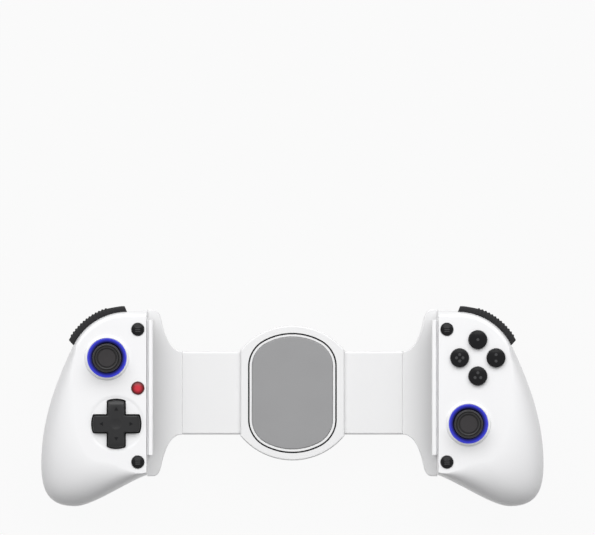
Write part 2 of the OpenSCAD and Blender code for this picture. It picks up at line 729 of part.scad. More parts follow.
module stick_collar(p) {
    place(p) rotate_extrude() polygon([[glow_r + 0.05, face_in], [collar_r, face_in], [collar_r, face_z],
        [glow_r + 0.5, face_z + collar_h], [glow_r + 0.05, face_z + collar_h]]);
}

module front_bosses() {
    for (s = grip_screws) place(s) {
        tube(2 * boss_r, board_z, face_in + 0.5);
        tube(2 * (boss_r - boss_step), split_z, board_z + e);
    }
    place(bumper_pin_at) tube(bumper_pin_d + 2.4, bumper_top + window_gap + 0.4, face_in - 1.5);
}

module front_bores() {
    for (s = grip_screws) place(s) tube(screw_d + 2 * pin_gap, split_z - 1, board_z + 4);
    place(bumper_pin_at) tube(bumper_pin_d + 2 * pin_gap, bumper_top - 1, bumper_top + 3);
}

module front_shell(stick) {
    difference() {
        union() {
            difference() {
                skin(face_ring, inset(face_ring, wall), inset(face_ring, 1.2 * wall), outline,
                    inset(outline, wall), face_z, face_in, false);
                lever_window();
            }
            front_bosses();
            stick_collar(stick);
        }
        front_bores();
        place(stick) tube(2 * glow_r + 0.1, face_in - 1, face_z + 3);
        children();
    }
}

function cross_cut(gap) = [dpad_l / 2 + gap, dpad_w / 2 + gap];
// The D-pad's plan: two arms whose ends follow one circle
module cross_plan(gap) {
    c = cross_cut(gap);
    intersection() {
        circle(r = c[0]);
        union() {
            square([2 * c[0], 2 * c[1]], center = true);
            square([2 * c[1], 2 * c[0]], center = true);
        }
    }
}

module left_front_shell() {
    color(shell_white) left_grip() front_shell(left_stick) {
        small_holes([small_upper_y, small_red_y, small_lower_y]);
        place(dpad_at) {
            translate([0, 0, face_z - dish_d])
                cylinder(r1 = dish_r - dish_d, r2 = dish_r + 0.3, h = dish_d + 0.3);
            translate([0, 0, face_in - 1]) linear_extrude(wall + 2) cross_plan(dpad_gap);
        }
    }
}

module right_front_shell() {
    color(shell_white) right_grip() front_shell(right_stick) {
        small_holes([small_upper_y, small_lower_y]);
        for (a = [0:90:270]) place(face_keys + face_key_step * [cos(a), sin(a)])
            tube(2 * (face_key_r + key_gap), face_in - 1, face_z + 1);
        socket_place() socket_plan(0.3, -9, 0);
    }
}

module back_shell() {
    difference() {
        union() {
            difference() {
                skin(rest_ring, inset(rest_ring, 0.5), inset(rest_ring, wall), outline,
                    inset(outline, wall), 0, wall, true);
                lever_window();
                box([-1, tab_low - slide_gap, tab_z - tab_t / 2 - slide_gap],
                    [3 * wall, tab_top + slide_gap, tab_z + tab_t / 2 + slide_gap]);
            }
            for (s = grip_screws) place(s) tube(2 * boss_r + 1, s[2], split_z);
            for (p = tab_pegs) place(p) tube(tab_peg_d, p[2], tab_z + tab_t / 2);
            trigger_frame() for (s = [-1, 1]) translate([0, s * post_y - post_w / 2, 0])
                box([-trigger_pin_d, 0, post_low - trigger_pin_z],
                    [trigger_pin_d / 2, post_w, trigger_pin_d]);
        }
        for (s = grip_screws) place(s) {
            tube(screw_d + 4 * pin_gap, s[3] - 1, split_z + 1);
            tube(head_d + 4 * pin_gap, -1, s[3]);
        }
        trigger_frame() along_y(trigger_pin_d + 2 * pin_gap, -pin_half - 1, pin_half + 1);
    }
}

module left_back_shell() {
    color(shell_white) left_grip() {
        back_shell();
        // Ribs under the battery
        for (t = [0.25, 0.75]) place(battery_at) translate([1, t * battery_l, wall - 0.5])
            cube([battery_w - 5, 2, battery_z - wall + 0.5]);
    }
}

module right_back_shell() { color(shell_white) right_grip() back_shell(); }

// Screws from the back of each grip
module shell_screws() { for (s = grip_screws) place(s) screw(s[3], board_z + 3); }
module left_screws() { color(metal) left_grip() shell_screws(); }
module right_screws() { color(metal) right_grip() shell_screws(); }

// Inside

module board(sockets) {
    plan = [[2.5, -30], [2.5, 41], [9, 41], [14, 40], [26, 34], [33, 24], [35, 6], [32, -16], [28, -29]];
    difference() {
        union() {
            prism(plan, board_z - board_t, board_z);
            if (sockets) prism([for (d = [[-6.5, 2], [-6.5, 0.6], [5, -1], [7, 4]]) socket_at + d],
                board_z - board_t, board_z);
        }
        for (s = grip_screws) place(s) tube(2 * (boss_r - boss_step) + 4 * pin_gap, board_z - 5, board_z + 1);
    }
}

// Posts on the board that carry the D-pad's spider
module dpad_posts() {
    x = 5.2;
    half = [0.7, 1.5];
    place(dpad_at) for (s = [-1, 1]) difference() {
        box([s * x - half.x, -half.y, board_z], [s * x + half.x, half.y, dpad_z + 1.4]);
        translate([0, 0, dpad_z]) along_x(gimbal_d + 2 * pin_gap, -x - 2, x + 2);
    }
}

module left_board() {
    color([0.1, 0.35, 0.2]) left_grip() {
        board(false);
        dpad_posts();
    }
}

module right_board() { color([0.1, 0.35, 0.2]) right_grip() board(true); }

module key_domes(at, d, top) { for (p = at) place(p) tube(d, board_z, top); }

module mat_strip() {
    box([mat_x, small_lower_y - 3.5, board_z], [small_key_x + 2.8, small_upper_y + 2.4, board_z + mat_t]);
}

module left_key_mat() {
    small = [for (y = [small_upper_y, small_red_y, small_lower_y]) [small_key_x, y]];
    reach = dpad_l / 2 - 3;
    arms = [for (a = [0:90:270]) dpad_at + reach * [cos(a), sin(a)]];
    color([0.6, 0.6, 0.62]) left_grip() difference() {
        union() {
            mat_strip();
            box([mat_x, dpad_y - dish_r, board_z], [dpad_x + dish_r, dpad_y + dish_r, board_z + mat_t]);
            key_domes(small, 3.6, key_low);
            key_domes(arms, 4.4, dpad_z + 0.7);
        }
        place(dpad_at) box([-7, -3, board_z - 1], [7, 3, board_z + mat_t + 1]);
    }
}

module right_key_mat() {
    small = [for (y = [small_upper_y, small_lower_y]) [small_key_x, y]];
    face = [for (a = [0:90:270]) face_keys + face_key_step * [cos(a), sin(a)]];
    color([0.6, 0.6, 0.62]) right_grip() difference() {
        union() {
            mat_strip();
            translate([0, 0, board_z]) linear_extrude(mat_t) hull()
                for (p = concat(face, [[small_key_x + 2, face_keys_y]])) translate(p) circle(r = 3.6);
            key_domes(small, 3.6, key_low);
            key_domes(face, 5.4, key_low);
        }
        for (s = grip_screws) place(s) tube(2 * boss_r + 0.6, board_z - 1, board_z + mat_t + 1);
    }
}

module battery() {
    color([0.25, 0.27, 0.5]) left_grip() place(battery_at, battery_z) cube([battery_w, battery_l, battery_t]);
}

// The socket hangs under the board
module socket_place() { place(socket_at, board_z - board_t - socket_t) rotate(socket_turn) children(); }
// Round-ended section of the charging socket, drawn along Y
module socket_plan(grow, y0, y1) {
    w = socket_w + 2 * grow;
    t = socket_t + 2 * grow;
    translate([0, y1, socket_t / 2]) rotate([90, 0, 0]) linear_extrude(y1 - y0) {
        square([w - t, t], center = true);
        for (s = [-1, 1]) translate([s * (w - t) / 2, 0]) circle(d = t);
    }
}

module charging_socket() {
    color(metal) right_grip() socket_place() {
        difference() {
            socket_plan(0, -3.2, 4);
            socket_plan(-0.3, -4, 2);
        }
        box([-3.3, -2.6, 1.25], [3.3, 2.5, 1.95]);
    }
}

// Sticks

module at_stick(p) { place(p, stick_z) children(); }

module stick_housing() {
    low = board_z - stick_z;
    half = housing_w / 2;
    top = 1.7;
    // Sensor boxes on two sides, and the round bowl that the yoke swings in
    ear = 1.8;
    ear_half = 4;
    bowl_d = 12.6;
    difference() {
        union() {
            box([-half, -half, low], [half, half, top]);
            box([half - e, -ear_half, low], [half + ear, ear_half, top - 0.4]);
            box([-ear_half, -half - ear, low], [ear_half, -half + e, top - 0.4]);
        }
        tube(bowl_d, low + 0.5, top + 1);
        along_x(gimbal_d + 2 * pin_gap, -half - 3, half);
    }
}

module stick_yoke() {
    difference() {
        rotate_extrude() polygon(slab(3.9, 5.6, -1.2, 1.2));
        along_y(gimbal_d + 2 * pin_gap, -7, 7);
    }
    for (s = [0, 180]) rotate(s) along_x(gimbal_d, 5.3, 7.2);
}

module stick_shaft() {
    tube(4.4, -2, 2);
    tube(rod_d, 1, rod_top);
    along_y(gimbal_d, -5, 5);
}

module stick_cap() {
    top = cap_h + cap_t;
    inner = skirt_r - 0.9;
    skirt = concat(full_arc([0, 0], skirt_r, 90, 90 - skirt_deg, 12),
        full_arc([0, 0], inner, 90 - skirt_deg, 90, 12));
    dish = cap_r * 0.67;
    difference() {
        union() {
            rotate_extrude() polygon(skirt);
            tube(2 * neck_r, inner, cap_h + e);
            rotate_extrude() polygon([[0, cap_h], [cap_r - 0.7, cap_h], [cap_r, cap_h + 0.7],
                [cap_r, top - 1], [cap_r - 0.4, top - 0.3], [cap_r - 1.2, top],
                [dish + 0.4, top - 0.3], [dish, top - 1], [0, top - 1.2]]);
        }
        tube(rod_d + 2 * pin_gap, inner - 2, rod_top + click + 0.1);
    }
}

// Light ring: its face slopes down to the stick, its flange lies under the shell
module light_ring(p) {
    rim = glow_r + 1.4;
    top = face_z + 0.8;
    place(p) rotate_extrude() polygon([[stick_hole_r, face_in - 1], [rim, face_in - 1], [rim, face_in],
        [glow_r, face_in], [glow_r, top], [glow_r - 0.5, top], [stick_hole_r, face_z - 0.6]]);
}

module left_stick_housing() { color([0.2, 0.2, 0.22]) left_grip() at_stick(left_stick) stick_housing(); }
module left_stick_yoke() { color(metal) left_grip() at_stick(left_stick) stick_yoke(); }
module left_stick_shaft() { color(metal) left_grip() at_stick(left_stick) stick_shaft(); }
module left_stick_cap() { color(key_black) left_grip() at_stick(left_stick) stick_cap(); }
module left_light_ring() { color([0.1, 0.2, 0.95]) left_grip() light_ring(left_stick); }
module right_stick_housing() { color([0.2, 0.2, 0.22]) right_grip() at_stick(right_stick) stick_housing(); }
module right_stick_yoke() { color(metal) right_grip() at_stick(right_stick) stick_yoke(); }
module right_stick_shaft() { color(metal) right_grip() at_stick(right_stick) stick_shaft(); }
module right_stick_cap() { color(key_black) right_grip() at_stick(right_stick) stick_cap(); }
module right_light_ring() { color([0.1, 0.2, 0.95]) right_grip() light_ring(right_stick); }

// D-pad

module dpad_spider() {
    color(metal) left_grip() place(dpad_at, dpad_z) {
        difference() {
            rotate_extrude() polygon(slab(2.6, 4, -1.1, 1.1));
            along_y(gimbal_d + 2 * pin_gap, -5, 5);
        }
        for (s = [0, 180]) rotate(s) along_x(gimbal_d, 3.8, 5.9);
    }
}

module dpad() {
    low = dpad_z + 0.8;
    skirt = dpad_z + 2;
    mark = 0.3;
    top = face_z + dpad_h;
    color(key_black) left_grip() place(dpad_at) difference() {
        union() {
            translate([0, 0, low]) linear_extrude(top - low) cross_plan(0);
            translate([0, 0, low]) linear_extrude(skirt - low) intersection() {
                cross_plan(dpad_gap + 0.7);
                translate([wall + 0.6 - dpad_x, -dpad_l]) square(2 * dpad_l);
            }
            tube(3, dpad_z - 1.4, low + e);
            translate([0, 0, dpad_z]) along_y(gimbal_d, -3.8, 3.8);
        }
        // Room for the spider and its posts under the cross
        difference() {
            tube(10, low - 1, dpad_z + 2.2);
            tube(3, low - 2, dpad_z + 3);
        }
        box([-7.2, -2.4, low - 1], [-2, 2.4, dpad_z + 2.6]);
        box([2, -2.4, low - 1], [7.2, 2.4, dpad_z + 2.6]);
        for (a = [0:90:270]) rotate(a) translate([dpad_l / 2 - 3.4, 0, top - mark])
            linear_extrude(1) polygon([[1, 0], [-0.8, 1], [-0.8, -1]]);
        translate([0, 0, top + 5.4]) sphere(r = 5.8);
    }
}

// Buttons

module key(r, h) {
    top = face_z + h;
    stem = r - 1.2;
    rim = face_in - flange_play;
    rotate_extrude() polygon([[0, key_low], [stem, key_low], [stem, rim - e], [r, rim - e], [r, top - 1],
        [r - 0.35, top - 0.45], [r * 0.6, top - 0.12], [0, top]]);
}

module key_flange() {
    rim = face_in - flange_play;
    translate([0, 0, rim - flange_t]) linear_extrude(flange_t) children();
}

module face_key(a) {
    color(key_black) right_grip() place(face_keys + face_key_step * [cos(a), sin(a)]) {
        key(face_key_r, face_key_h);
        key_flange() circle(r = face_key_flange);
    }
}

module small_key(y) {
    place([small_key_x, y]) {
        key(small_key_r, small_key_h);
        key_flange() intersection() {
            circle(r = small_key_flange);
            translate([small_flange_x, small_flange_y]) square(2 * small_key_flange);
        }
    }
}

module north_button() { face_key(90); }
module south_button() { face_key(270); }
module east_button() { face_key(0); }
module west_button() { face_key(180); }
module left_upper_button() { color(key_black) left_grip() small_key(small_upper_y); }
module left_lower_button() { color(key_black) left_grip() small_key(small_lower_y); }
module red_button() { color([0.6, 0.08, 0.08]) left_grip() small_key(small_red_y); }
module right_upper_button() { color(key_black) right_grip() small_key(small_upper_y); }
module right_lower_button() { color(key_black) right_grip() small_key(small_lower_y); }

// Bumpers and triggers

module bumper() {
    web_low = bumper_low + 2.6;
    web_top = bumper_top - 1;
    rib_d = 1;
    difference() {
        union() {
            sector(slab(bumper_in, bumper_r - 0.45, bumper_low, bumper_top), bumper_a0, bumper_a1);
            sector(slab(web_in, bumper_in + 0.5, web_low, web_top), bumper_a0 + 4.5, bumper_a1 - 4);
            place(corner) for (i = [0:rib_count - 1])
                rotate(rib_a0 + (rib_a1 - rib_a0) * i / (rib_count - 1))
                    translate([bumper_r - rib_d / 2, 0, 0]) tube(rib_d, bumper_low, bumper_top);
            place(bumper_pin_at) tube(bumper_pin_d + 2.8, web_low - 0.6, web_top + 0.6);
        }
        place(bumper_pin_at) tube(bumper_pin_d + 2 * pin_gap, web_low - 1, web_top + 1);
    }
}

// Frame at the middle of the trigger's pin: X outwards, Y along the pin
module trigger_frame() {
    place(corner + trigger_pin_r * [cos(trigger_mid), sin(trigger_mid)], trigger_pin_z)
        rotate(trigger_mid) children();
}

module trigger() {
    out = bumper_r - 0.3;
    mid = (trigger_top + trigger_low) / 2;
    waist = 0.6;
    face = [[out, trigger_low], [out - waist, mid], [out, trigger_top]];
    back = [for (i = [2:-1:0]) face[i] - [trigger_t, 0]];
    difference() {
        union() {
            sector(concat(face, back), bumper_a0 + 2, bumper_a1 - 2);
            sector(slab(window_in + 2, out - trigger_t + e, trigger_top - 2.8, trigger_top),
                bumper_a0 + 4.5, bumper_a1 - 4);
            trigger_frame() for (s = [-1, 1]) translate([0, s * knuckle_y - knuckle_w / 2, 0]) {
                box([0, 0, -2.6], [6.6, knuckle_w, trigger_top - trigger_pin_z]);
                along_y(knuckle_d, 0, knuckle_w);
            }
        }
        trigger_frame() along_y(trigger_pin_d + 2 * pin_gap, -pin_half - 1, pin_half + 1);
    }
}

module lever_pins() {
    place(bumper_pin_at) tube(bumper_pin_d, bumper_low + 0.6, bumper_top + 2.8);
    trigger_frame() along_y(trigger_pin_d, -pin_half, pin_half);
}

// Torsion spring wound on the trigger's pin, between the trigger's two arms
module trigger_spring() {
    half = 2.8;
    trigger_frame() translate([0, -half, 0]) rotate(90)
        wire(coil(2 * half, trigger_pin_d / 2 + 0.4, 5), spring_wire);
}

module left_bumper() { color(key_black) left_grip() bumper(); }
module right_bumper() { color(key_black) right_grip() bumper(); }
module left_trigger() { color(key_black) left_grip() trigger(); }
module right_trigger() { color(key_black) right_grip() trigger(); }
module left_lever_pins() { color(metal) left_grip() lever_pins(); }
module right_lever_pins() { color(metal) right_grip() lever_pins(); }
module left_trigger_spring() { color(metal) left_grip() trigger_spring(); }
module right_trigger_spring() { color(metal) right_grip() trigger_spring(); }

hub_front_cover();
hub_back_cover();
pad_trim();
rest_pad();
left_sleeve();
right_sleeve();
hub_screws();
left_return_spring();
right_return_spring();
ribbon_cable();
sync_pinion();
left_tongue();
left_shoulder();
left_jaw_lip();
left_jaw_pad();
left_front_shell();
left_back_shell();
left_board();
left_key_mat();
left_stick_housing();
left_light_ring();
left_screws();
left_lever_pins();
left_stick_yoke();
left_stick_shaft();
left_stick_cap();
left_bumper();
left_trigger();
left_trigger_spring();
battery();
right_tongue();
right_shoulder();
right_jaw_lip();
right_jaw_pad();
right_front_shell();
right_back_shell();
right_board();
right_key_mat();
right_stick_housing();
right_light_ring();
right_screws();
right_lever_pins();
right_stick_yoke();
right_stick_shaft();
right_stick_cap();
right_bumper();
right_trigger();
right_trigger_spring();
charging_socket();
dpad_spider();
dpad();
north_button();
south_button();
east_button();
west_button();
left_upper_button();
left_lower_button();
red_button();
right_upper_button();
right_lower_button();
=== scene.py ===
import json
import math

import bmesh
import bpy
from bpy.props import FloatProperty, FloatVectorProperty, IntProperty, PointerProperty
from mathutils import Matrix, Vector
from mathutils.geometry import interpolate_bezier


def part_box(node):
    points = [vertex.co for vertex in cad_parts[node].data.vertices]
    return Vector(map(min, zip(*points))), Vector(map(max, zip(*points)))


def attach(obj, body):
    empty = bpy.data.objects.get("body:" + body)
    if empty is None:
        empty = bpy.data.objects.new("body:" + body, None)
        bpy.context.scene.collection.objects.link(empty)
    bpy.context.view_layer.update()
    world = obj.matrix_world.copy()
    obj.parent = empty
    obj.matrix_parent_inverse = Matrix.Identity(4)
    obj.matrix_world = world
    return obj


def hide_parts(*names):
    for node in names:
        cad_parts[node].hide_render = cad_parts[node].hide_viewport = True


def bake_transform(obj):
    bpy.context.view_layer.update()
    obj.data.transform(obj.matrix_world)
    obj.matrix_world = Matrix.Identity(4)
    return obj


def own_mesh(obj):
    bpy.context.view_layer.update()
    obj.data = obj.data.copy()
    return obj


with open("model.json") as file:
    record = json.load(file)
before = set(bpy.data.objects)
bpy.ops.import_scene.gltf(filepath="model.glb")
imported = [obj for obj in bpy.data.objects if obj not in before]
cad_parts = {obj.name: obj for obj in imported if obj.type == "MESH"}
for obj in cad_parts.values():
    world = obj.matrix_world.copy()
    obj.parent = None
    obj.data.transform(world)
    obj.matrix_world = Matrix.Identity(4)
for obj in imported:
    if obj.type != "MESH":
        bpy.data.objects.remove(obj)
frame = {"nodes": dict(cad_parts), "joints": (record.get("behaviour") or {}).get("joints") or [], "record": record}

bl_info = {
    "name": "Phone game controller",
    "version": (1, 0, 0),
    "blender": (4, 5, 0),
    "location": "View3D > Sidebar > Controller",
    "description": "Builds the looks of a telescopic game controller on its CAD frame",
    "category": "Object",
}

# Forms are drawn in millimetres. Those of a grip are drawn for the right hand, x outwards from the jaw wall.
MM = 0.001
SIDES = {"left": -1, "right": 1}
# Finishes have names of their own, beside the plain colours that come with the CAD frame
FINISH = "finish_"


def mm_box(node):
    """Lowest and highest corner of a CAD node, in millimetres."""
    low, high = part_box(node)
    return low / MM, high / MM


def joint(name):
    """Record of a joint."""
    return next(j for j in frame["joints"] if j["name"] == name)


def joint_at(name):
    """Place of a joint's axis, in millimetres."""
    return Vector(joint(name)["pos_m"]) / MM


def to_local(point):
    """The same place in its grip's own frame."""
    return Vector((abs(point.x) - JAW_X, point.y, point.z))


SHELL_BOX = mm_box("right_front_shell")
JAW_X = SHELL_BOX[0].x
SPLIT_Z = SHELL_BOX[0].z
COLLAR_H = 1.0
FACE_Z = SHELL_BOX[1].z - COLLAR_H
HUB = joint_at("pinion_spin")
CORNER = Vector((9.55, 16.9))
STICKS = {side: to_local(joint_at(side + "_stick_tilt_y")) for side in SIDES}
CROSS = to_local(joint_at("dpad_tilt_y"))
STICK_HOLE_R = 9.85
# Top of a thumb cap above its stick's pivot
CAP_RISE = 16.9
PIN_BORE_R = 1.25


# Settings


def length(name, description, size):
    """A length setting whose default is given in millimetres."""
    return FloatProperty(name=name, description=description, default=size * MM, unit="LENGTH", precision=5)


def colour(name, description, value):
    """A colour setting."""
    return FloatVectorProperty(
        name=name, description=description, default=value, subtype="COLOR", size=3, min=0, max=1
    )


class ControllerSizes(bpy.types.PropertyGroup):
    """Sizes of the visible forms."""

    wall: length("Shell wall", "Wall of the grip shells", 2)
    seam: length("Seam", "Chamfer where two mouldings meet", 0.15)
    hole_edge: length("Hole edge", "Chamfer round the holes in the face", 0.15)
    cap_r: length("Cap radius", "Radius of a stick's thumb cap", 7.1)
    disc_r: length("Disc radius", "Radius of the recess in a thumb cap", 4.95)
    arm_l: length("Cross length", "Length across the arms of the cross pad", 23.6)
    arm_w: length("Cross width", "Width of the arms of the cross pad", 8.0)
    arm_gap: length("Cross gap", "Gap between the cross pad and its hole", 0.75)
    arm_slope: length("Cross slope", "Drop of the sloped ends of the cross pad", 1.1)
    face_key_r: length("Face key radius", "Radius of the four face keys", 4.55)
    small_key_r: length("Small key radius", "Radius of the small keys", 3.1)
    key_gap: length("Key gap", "Gap between a key and its hole", 0.15)
    rib_d: length("Rib depth", "Depth of the ribs on the bumpers", 0.45)
    rib_count: IntProperty(name="Ribs", description="Number of ribs on a bumper", default=13, min=2, max=30)
    hub_edge: length("Hub edge", "Rounding of the hub's edges", 0.8)
    wire_d: length("Spring wire", "Wire of the return springs", 0.5)


class ControllerFinish(bpy.types.PropertyGroup):
    """Colours of the finishes."""

    shell: colour("Shell", "White mouldings", (0.86, 0.86, 0.87))
    # Painted shade: the bridge's white is a darker copy of the shell's white, for the shade that falls on the
    # lower pieces between the grips
    bridge: colour("Bridge", "White mouldings of the bridge", (0.79, 0.79, 0.795))
    pad: colour("Rest pad", "Grey silicone rest pad", (0.295, 0.295, 0.3))
    trim: colour("Trim", "Dark line round the rest pad", (0.01, 0.01, 0.011))
    keys: colour("Keys", "Glossy black keys", (0.008, 0.008, 0.009))
    mark: colour("Marks", "Dots and bars on the keys", (0.052, 0.052, 0.054))
    rubber: colour("Rubber", "Dark rubber of the thumb caps", (0.016, 0.015, 0.016))
    disc: colour("Disc", "Paler disc in the thumb caps", (0.023, 0.0205, 0.022))
    cross: colour("Cross pad", "Satin black of the cross pad", (0.016, 0.016, 0.017))
    lever: colour("Levers", "Satin black of bumpers and triggers", (0.016, 0.016, 0.017))
    glow: colour("Light ring", "Light of the rings round the sticks", (0.025, 0.032, 0.44))
    # Painted glow: light given off by the red key, which is no lamp, brightest in its middle
    red: colour("Red key", "Lit middle of the red key", (0.55, 0.03, 0.05))
    floor: colour("Floor", "Pale surface below", (0.24, 0.24, 0.24))


class ControllerStage(bpy.types.PropertyGroup):
    """Camera and light."""

    camera_height: FloatProperty(
        name="Camera height", description="Camera above the floor", default=6.02, unit="LENGTH"
    )
    lens: FloatProperty(
        name="Lens", description="Focal length in millimetres", default=726, min=20, max=2000, subtype="NONE"
    )
    aim: FloatVectorProperty(
        name="Aim", description="Point that the camera looks at", default=(0.00255, 0.06925, 0.02),
        subtype="TRANSLATION", size=3,
    )
    key_power: FloatProperty(
        name="Key light", description="Power of the large light above", default=41.5, min=0, unit="POWER"
    )
    fill: FloatProperty(
        name="Fill", description="Strength of the even light all round", default=0.4, min=0, max=2,
        subtype="FACTOR",
    )


def sizes():
    """The size settings in millimetres."""
    group = bpy.context.scene.controller_sizes
    names = ControllerSizes.__annotations__
    return {n: group.rib_count if n == "rib_count" else getattr(group, n) / MM for n in names}


def smooth(t):
    """Eased step from 0 to 1, held beyond both ends."""
    t = min(1, max(0, t))
    return t * t * (3 - 2 * t)


# Curves in plan: each leaves out its end, so that the next one starts there


def flat(x, y):
    return Vector((x, y))


def spoke(angle):
    return Vector((math.cos(math.radians(angle)), math.sin(math.radians(angle))))


def line(a, b, count):
    return [a.lerp(b, i / count) for i in range(count)]


def arc(centre, r, start, end, count):
    return [centre + r * spoke(start + (end - start) * i / count) for i in range(count)]


def curve(a, b, c, d, count):
    return interpolate_bezier(a, b, c, d, count + 1)[:-1]


def inset(ring, by):
    """A closed ring drawn in along its normals."""
    area = sum(a.x * b.y - b.x * a.y for a, b in zip(ring, ring[1:] + ring[:1]))
    turn = 1 if area > 0 else -1
    moved = []
    for a, p, b in zip(ring[-1:] + ring[:-1], ring, ring[1:] + ring[:1]):
        u, v = (p - a).normalized(), (b - p).normalized()
        m, k = turn * flat(-u.y, u.x), turn * flat(-v.y, v.x)
        moved.append(p + by * (m + k) / (1 + m.dot(k)))
    return moved


def softened(corners, closed=True, steps=5):
    """Line through (x, y, radius) corners, each rounded by its radius."""
    points = [flat(x, y) for x, y, r in corners]
    ring = []
    for i, (x, y, r) in enumerate(corners):
        p = points[i]
        if r == 0 or (not closed and i in (0, len(corners) - 1)):
            ring.append(p)
            continue
        u = (points[i - 1] - p).normalized()
        v = (points[(i + 1) % len(points)] - p).normalized()
        half = u.angle(v) / 2
        start, end = p + u * r / math.tan(half), p + v * r / math.tan(half)
        centre = p + (u + v).normalized() * r / math.sin(half)
        u, v = (start - centre).normalized(), (end - centre).normalized()
        ring += [start] + [centre + r * u.slerp(v, k / steps) for k in range(1, steps)] + [end]
    return ring


def rounded(w, h, r):
    return softened([(w / 2, h / 2, r), (-w / 2, h / 2, r), (-w / 2, -h / 2, r), (w / 2, -h / 2, r)])


def oblong(x0, y0, x1, y1):
    return [flat(x0, y0), flat(x1, y0), flat(x1, y1), flat(x0, y1)]


def cut_round(w, h, r):
    """Circle of diameter h cut to width w, with round corners."""
    x, d = w / 2 - r, h / 2 - r
    y = math.sqrt(d * d - x * x)
    a = math.degrees(math.atan2(y, x))
    ring = []
    for turn, sign in ((0, 1), (180, -1)):
        last = sign * flat(-x, y)
        ring += arc(sign * flat(x, y), r, turn, turn + a, 12)
        ring += arc(flat(0, 0), h / 2, turn + a, turn + 180 - a, 32)
        ring += arc(last, r, turn + 180 - a, turn + 180, 12) + [last + r * spoke(turn + 180)]
    return ring


def at_level(ring, z):
    return [Vector((p.x, p.y, z)) for p in ring]


def pillow(ring, low, high, low_r, high_r, steps=4):
    """Levels of a plate with a rounded lower and upper edge."""
    turn = [math.radians(90 * k / steps) for k in range(steps + 1)]
    levels = [(low_r * (1 - math.sin(a)), low + low_r * (1 - math.cos(a))) for a in turn]
    levels += [(high_r * (1 - math.cos(a)), high - high_r * (1 - math.sin(a))) for a in turn]
    return [at_level(inset(ring, by), z) for by, z in levels]


# Forms


def loft(bm, rings, joined=False):
    """Skin through closed rings of one count, with flat ends or joined back to its start."""
    verts = [bm.verts.new(p) for p in rings[0]]
    edges = [bm.edges.new((verts[i - 1], verts[i])) for i in range(len(verts))]
    start = edges
    for ring in rings[1:] + (rings[:1] if joined else []):
        made = set(bmesh.ops.extrude_edge_only(bm, edges=edges)["geom"])
        verts = [next(e.other_vert(v) for e in v.link_edges if e.other_vert(v) in made) for v in verts]
        edges = [bm.edges.get((verts[i - 1], verts[i])) for i in range(len(verts))]
        for v, p in zip(verts, ring):
            v.co = p
    if not joined:
        for end in (start, edges):
            bmesh.ops.edgeloop_fill(bm, edges=end)


def turned(bm, profile, centre, steps=96):
    """Full turn of a profile of (radius, level) about an upright axis."""
    verts = [bm.verts.new((centre.x + p[0], centre.y, p[1])) for p in profile]
    edges = [bm.edges.new(pair) for pair in zip(verts, verts[1:])]
    bmesh.ops.spin(
        bm, geom=verts + edges, cent=(centre.x, centre.y, 0), axis=(0, 0, 1), angle=2 * math.pi, steps=steps,
        use_merge=True,
    )


def sector(bm, section, start, end, steps=40, round_r=0):
    """Section of (radius, level) swept about the shoulder corner."""
    stops = [(start + (end - start) * i / steps, 0) for i in range(steps + 1)]
    if round_r:
        reach = math.degrees(round_r / section[0].x)
        stops = [(start, round_r), (start + reach / 3, round_r / 3)] + [
            (start + reach + (end - start - 2 * reach) * i / steps, 0) for i in range(steps + 1)
        ] + [(end - reach / 3, round_r / 3), (end, round_r)]
    rings = []
    for angle, by in stops:
        ring = inset(section, by) if by else section
        rings.append([Vector((*(CORNER + p.x * spoke(angle)), p.y)) for p in ring])
    loft(bm, rings)


def prism(bm, ring, low, high):
    loft(bm, [at_level(ring, low), at_level(ring, high)])


def block(bm, low, high):
    """Plain box between two corners."""
    low, high = Vector(low), Vector(high)
    made = bmesh.ops.create_cube(bm, size=1)["verts"]
    bmesh.ops.scale(bm, vec=high - low, verts=made)
    bmesh.ops.translate(bm, vec=(low + high) / 2, verts=made)
    return made


def lying_pin(bm, r, start, end):
    """Round bar along y through the origin, and its vertices."""
    made = bmesh.ops.create_cone(
        bm, cap_ends=True, segments=48, radius1=r, radius2=r, depth=end - start
    )["verts"]
    bmesh.ops.rotate(bm, verts=made, cent=(0, 0, 0), matrix=Matrix.Rotation(math.radians(90), 3, "X"))
    bmesh.ops.translate(bm, verts=made, vec=(0, (start + end) / 2, 0))
    return made


def at_trigger_pin(bm, verts):
    """Moves a form to the trigger's pin, whose frame has x outwards and y along the pin."""
    pin = to_local(joint_at("right_trigger_pull"))
    out = pin.xy - CORNER
    turn = Matrix.Rotation(math.atan2(out.y, out.x), 3, "Z")
    bmesh.ops.rotate(bm, verts=verts, cent=(0, 0, 0), matrix=turn)
    bmesh.ops.translate(bm, verts=verts, vec=pin)


def hole(bm, centre, r, low, high, edge=0):
    """Cutter for a round hole whose upper edge is chamfered."""
    rim = r + edge
    turned(bm, [(0, low), (r, low), (r, high - edge), (rim + 1, high + 1), (0, high + 1)], centre)


def build(name, bm, side=None):
    """Makes an object of a form, after placing a grip's form in the shared frame."""
    bmesh.ops.remove_doubles(bm, verts=bm.verts, dist=1e-4)
    if side:
        bmesh.ops.translate(bm, vec=(JAW_X, 0, 0), verts=bm.verts)
        bmesh.ops.scale(bm, vec=(SIDES[side], 1, 1), verts=bm.verts)
    bmesh.ops.recalc_face_normals(bm, faces=bm.faces)
    if bm.calc_volume(signed=True) < 0:
        bmesh.ops.reverse_faces(bm, faces=bm.faces)
    bmesh.ops.scale(bm, vec=(MM, MM, MM), verts=bm.verts)
    mesh = bpy.data.meshes.new(name)
    bm.to_mesh(mesh)
    bm.free()
    obj = bpy.data.objects.new(name, mesh)
    bpy.context.scene.collection.objects.link(obj)
    return obj


def piece(name, side, draw, *args, **options):
    """Object of a single drawn form."""
    bm = bmesh.new()
    draw(bm, *args, **options)
    return build(name, bm, side)


